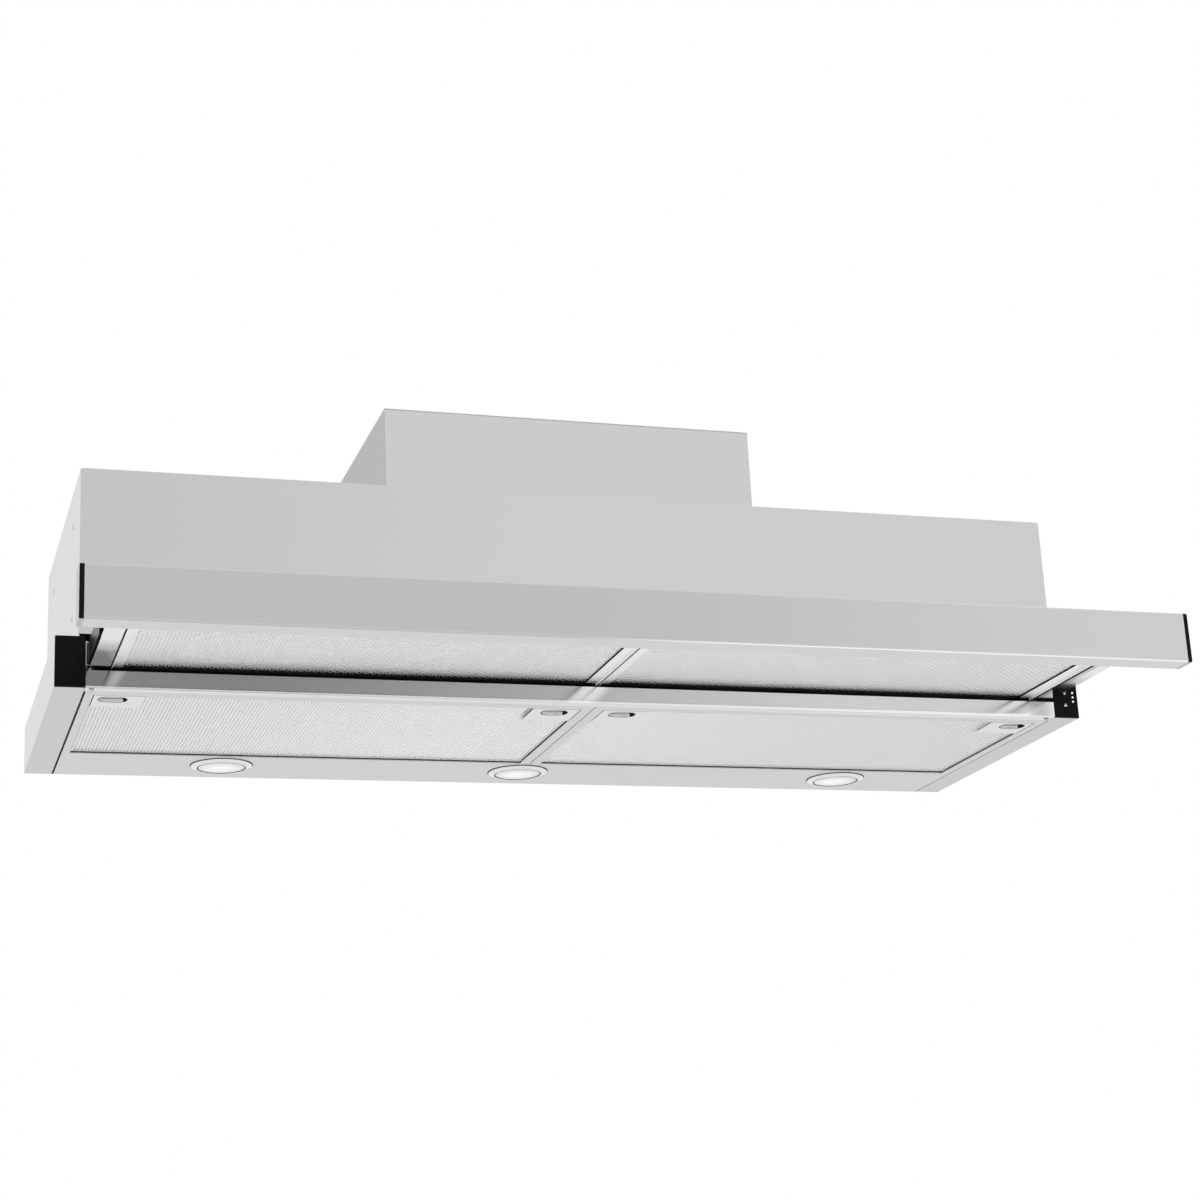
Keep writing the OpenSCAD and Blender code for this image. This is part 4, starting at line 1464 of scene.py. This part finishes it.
@dataclass
class Symbols:
    """White printed signs on the two push buttons: a lamp and a fan, in shares of their size."""

    finishes: Finishes
    ink: float = 0.12 * MM
    size: float = 2.0 * MM
    bulb_up_share: float = 0.3
    bulb_r_share: float = 0.55
    bulb_line_share: float = 0.16
    foot_half_share: float = 0.28
    foot_shares: tuple[float, float] = (-0.75, -0.35)
    hub_r_share: float = 0.16
    blade_r_share: float = 0.28
    blade_reach_share: float = 0.5
    blades: int = 3
    bulb_sides: int = 20
    fan_sides: int = 12

    def _stand(self, name: str, parts: list[bpy.types.Object], button: str) -> None:
        """Sets a flat sign upright on its button's face.

        Args:
            name: Name of the sign.
            parts: Its flat parts, drawn round the origin.
            button: Name of the button, which is also its body's name.
        """
        sign = Bench.join(name, parts)
        Bench.thicken(sign, self.ink)
        Bench.turn_upright(sign)
        low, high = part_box(button)
        middle = (low + high) / 2
        Bench.shift(sign, (middle.x, low.y, middle.z))
        # The printed sign takes the lit LED finish and so glows a little: painted light.
        self.finishes.put(sign, "led_white", button)

    def build_lamp(self) -> None:
        """Builds the lamp sign: a ring with a short foot."""
        up = self.bulb_up_share * self.size
        ring = Bench.disc("bulb", (0, up, 0), self.bulb_r_share * self.size, self.bulb_sides)
        Bench.hollow(ring, self.bulb_line_share * self.size)
        half = self.foot_half_share * self.size
        low, high = (share * self.size for share in self.foot_shares)
        foot = Bench.sheet("foot", Vector((-half, low, 0)), Vector((half, high, 0)))
        self._stand("light_sign", [ring, foot], "light_button")

    def build_fan(self) -> None:
        """Builds the fan sign: three blades round a hub, one of them upright."""
        reach = self.blade_reach_share * self.size
        blade_r = self.blade_r_share * self.size
        parts = [Bench.disc("hub", (0, 0, 0), self.hub_r_share * self.size, self.fan_sides)]
        for blade in range(self.blades):
            turn = 2 * math.pi * blade / self.blades + math.pi / 2
            centre = (reach * math.cos(turn), reach * math.sin(turn), 0)
            parts.append(Bench.disc("blade", centre, blade_r, self.fan_sides))
        self._stand("fan_sign", parts, "fan_button")


@dataclass
class Fasteners:
    """Cross-recessed screws of the chimney's flange and of the strip's lower edge."""

    finishes: Finishes
    head_r: float = 3.6 * MM
    head_h: float = 2.0 * MM
    head_sides: int = 32
    crown: float = 0.8 * MM
    smooth_to: float = 30.0
    slot_w: float = 0.9 * MM
    slot_l: float = 3.6 * MM
    slot_d: float = 1.0 * MM
    small: float = 0.6
    strip_inset: Triple = (5.2 * MM, 6.7 * MM, 0.0)

    def _head(self, name: str) -> bpy.types.Object:
        """Builds one screw head.

        Args:
            name: Name of the piece.

        Returns:
            The head, which stands on the origin.
        """
        head = Bench.rod(name, self.head_r, self.head_h, self.head_sides)
        Bench.round_edges(head, self.crown, 3)
        for wide, deep in ((self.slot_l, self.slot_w), (self.slot_w, self.slot_l)):
            low = Vector((-wide / 2, -deep / 2, self.head_h - self.slot_d))
            bar = Bench.plate("bar", low, -low, 2 * self.slot_d)
            Bench.modify(head, "BOOLEAN", object=bar, operation="DIFFERENCE", solver="EXACT")
            bpy.data.objects.remove(bar)
        Bench.smooth(head, self.smooth_to)
        return head

    def build_chimney(self) -> None:
        """Builds the screws of the chimney in place of the plain ones."""
        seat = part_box("chimney_screws")[1].z - self.head_h
        places = Bench.solids("chimney_screws", 4 * self.head_r)
        for place in places:
            place.z = seat
        screws = Bench.copies(self._head("chimney_screw_heads"), places)
        self.finishes.put(screws, "screw_steel", "housing")
        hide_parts("chimney_screws")

    def build_strip(self) -> None:
        """Builds the small screws that hold the strip's lower edge at its two ends."""
        head = self._head("strip_screws")
        head.data.transform(Matrix.Scale(self.small, 4) @ Matrix.Rotation(math.pi, 4, "X"))
        low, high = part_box("front_strip")
        inset = Vector(self.strip_inset)
        places = [low + inset, Vector((high.x - inset.x, low.y + inset.y, low.z))]
        self.finishes.put(Bench.copies(head, places), "screw_steel", "housing")


@dataclass
class SeamShades:
    """Painted shade: black strips in the seam by the left side channel and along the filters' bar.
    """

    finishes: Finishes
    lip: float = 0.95 * MM
    height: float = 0.1 * MM
    drop: float = 0.78 * MM
    bar_w: float = 1.4 * MM

    def build(self) -> None:
        """Builds one strip in the seam and one along the middle of the bar."""
        low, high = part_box("underside_panel")
        start = Vector((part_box("side_channel_left")[1].x, low.y, low.z - self.height))
        seam = Bench.plate("seam", start, Vector((low.x + self.lip, high.y, 0)), self.height)
        low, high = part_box("centre_bar")
        start = Vector((-self.bar_w / 2, low.y, low.z - self.drop))
        bar = Bench.plate("bar", start, Vector((self.bar_w / 2, high.y, 0)), self.drop)
        dark_strips = Bench.join("seam_shades", [seam, bar])
        self.finishes.put(dark_strips, "black_matte", "housing", "seal_and_shade")


@dataclass
class Studio:
    """Floor, world, lights and the camera."""

    floor_z: float = -1.0
    floor_size: float = 40.0
    floor_color: Triple = (0.9, 0.9, 0.9)
    floor_cloud: float = 0.4
    floor_white_share: float = 0.9
    ambient: float = 0.82
    mirror: float = 0.97
    mirror_right: float = -0.03
    mirror_behind: float = 0.1
    eye: Triple = (-0.60515, -1.91877, -0.50636)
    look: Triple = (0.2966, 0.9096, 0.2910)
    up: Triple = (-0.0420, -0.2920, 0.9555)
    lens_mm: float = 72.39
    sensor_mm: float = 36.0
    shift: tuple[float, float] = (0.0007, 0.0025)
    clip: tuple[float, float] = (0.01, 50.0)
    aim: Triple = (0.0, 0.0, 0.1)

    def camera(self) -> None:
        """Places the camera where the photograph was taken from."""
        data = bpy.data.cameras.new("camera")
        data.lens = self.lens_mm
        data.sensor_width = self.sensor_mm
        data.shift_x, data.shift_y = self.shift
        data.clip_start, data.clip_end = self.clip
        camera = bpy.data.objects.new("camera", data)
        bpy.context.scene.collection.objects.link(camera)
        back = -Vector(self.look).normalized()
        right = Vector(self.up).cross(back).normalized()
        upright = back.cross(right)
        turn = Matrix((right, upright, back)).transposed().to_4x4()
        camera.matrix_world = Matrix.Translation(self.eye) @ turn
        bpy.context.scene.camera = camera

    @staticmethod
    def _rays(nodes: Nodes, kind: str) -> Signal:
        """Returns 1 for rays of one kind, else 0."""
        return nodes.signal("LightPath", f"Is {kind} Ray")

    def floor(self) -> None:
        """Lays the pale floor under the hanging hood; metal and glass see it as plain white.

        It is clear from below, so the hood's underside can be looked at from there.
        """
        Bench.clear()
        bpy.ops.mesh.primitive_plane_add(size=self.floor_size, location=(0, 0, self.floor_z))
        floor = Bench.named("floor")
        paint = Paint("floor_white")
        paint.shade(self.floor_color, low=0.985, high=1.0, mask=paint.noise(self.floor_cloud))
        paint.feed("Roughness", 0.8)
        seen = self._rays(paint, "Camera") * self.floor_white_share
        mirrored = self._rays(paint, "Glossy") + self._rays(paint, "Transmission")
        white = paint.signal("Emission", 0, {"Color": WHITE, "Strength": 1.0})
        lit = Signal(paint.tree, paint.shader.outputs[0])
        share = (mirrored + seen).at_most(1.0)
        above = paint.signal("MixShader", 0, {0: share, 1: lit, 2: white})
        below = paint.signal("NewGeometry", "Backfacing")
        clear = paint.signal("BsdfTransparent")
        surface = paint.signal("MixShader", 0, {0: below, 1: above, 2: clear})
        paint.tree.links.new(surface.socket, paint.output.inputs["Surface"])
        floor.data.materials.append(paint.material)

    def world(self) -> None:
        """Lights the studio from all round; the camera sees white and metal a near white."""
        world = bpy.data.worlds.new("studio")
        world.use_nodes = True
        nodes = Nodes(world.node_tree)
        way = nodes.signal("TexCoord", "Generated")
        right = nodes.signal("SeparateXYZ", 0, {0: way})
        behind = nodes.signal("SeparateXYZ", 1, {0: way})
        camera = self._rays(nodes, "Camera")
        glossy = self._rays(nodes, "Glossy")
        soft = (1.0 - (camera + glossy)).at_least(0.0) * self.ambient
        mirror = self.mirror + right * self.mirror_right + behind * self.mirror_behind
        strength = soft + camera + glossy * mirror
        background = nodes.signal("Background", 0, {"Color": WHITE, "Strength": strength})
        nodes.node("OutputWorld", None, {"Surface": background})
        bpy.context.scene.world = world

    def light(self, name: str, place: Triple, size: float, watts: float) -> None:
        """Adds a soft lamp that points at the hood and that metal doesn't mirror.

        Args:
            name: Name of the lamp.
            place: Where it stands.
            size: Side of its square.
            watts: Its power.
        """
        data = bpy.data.lights.new(name, "AREA")
        data.size = size
        data.energy = watts
        lamp = bpy.data.objects.new(name, data)
        bpy.context.scene.collection.objects.link(lamp)
        way = Vector(self.aim) - Vector(place)
        lamp.rotation_euler = way.to_track_quat("-Z", "Y").to_euler()
        lamp.location = place
        lamp.visible_glossy = False

    def build(self) -> None:
        """Sets up the studio."""
        self.floor()
        self.world()
        self.light("key_light", place=(-2.2, -2.6, 2.4), size=1.6, watts=26)
        self.light("fill_light", place=(1.0, -3.0, 2.6), size=2.0, watts=6)
        bpy.context.scene.view_settings.view_transform = "Standard"


def main() -> None:
    """Builds the scene."""
    logging.basicConfig(level=logging.INFO, format="%(message)s")
    studio = Studio()
    studio.camera()
    finishes = Finishes(Lamps.centres())
    finishes.dress_frame()
    SoftEdges().build()
    HousingFilters(finishes).build()
    DrawerFilters(finishes).build()
    Lamps(finishes).build()
    symbols = Symbols(finishes)
    symbols.build_lamp()
    symbols.build_fan()
    fasteners = Fasteners(finishes)
    fasteners.build_chimney()
    fasteners.build_strip()
    SeamShades(finishes).build()
    studio.build()


if __name__ == "__main__":
    main()
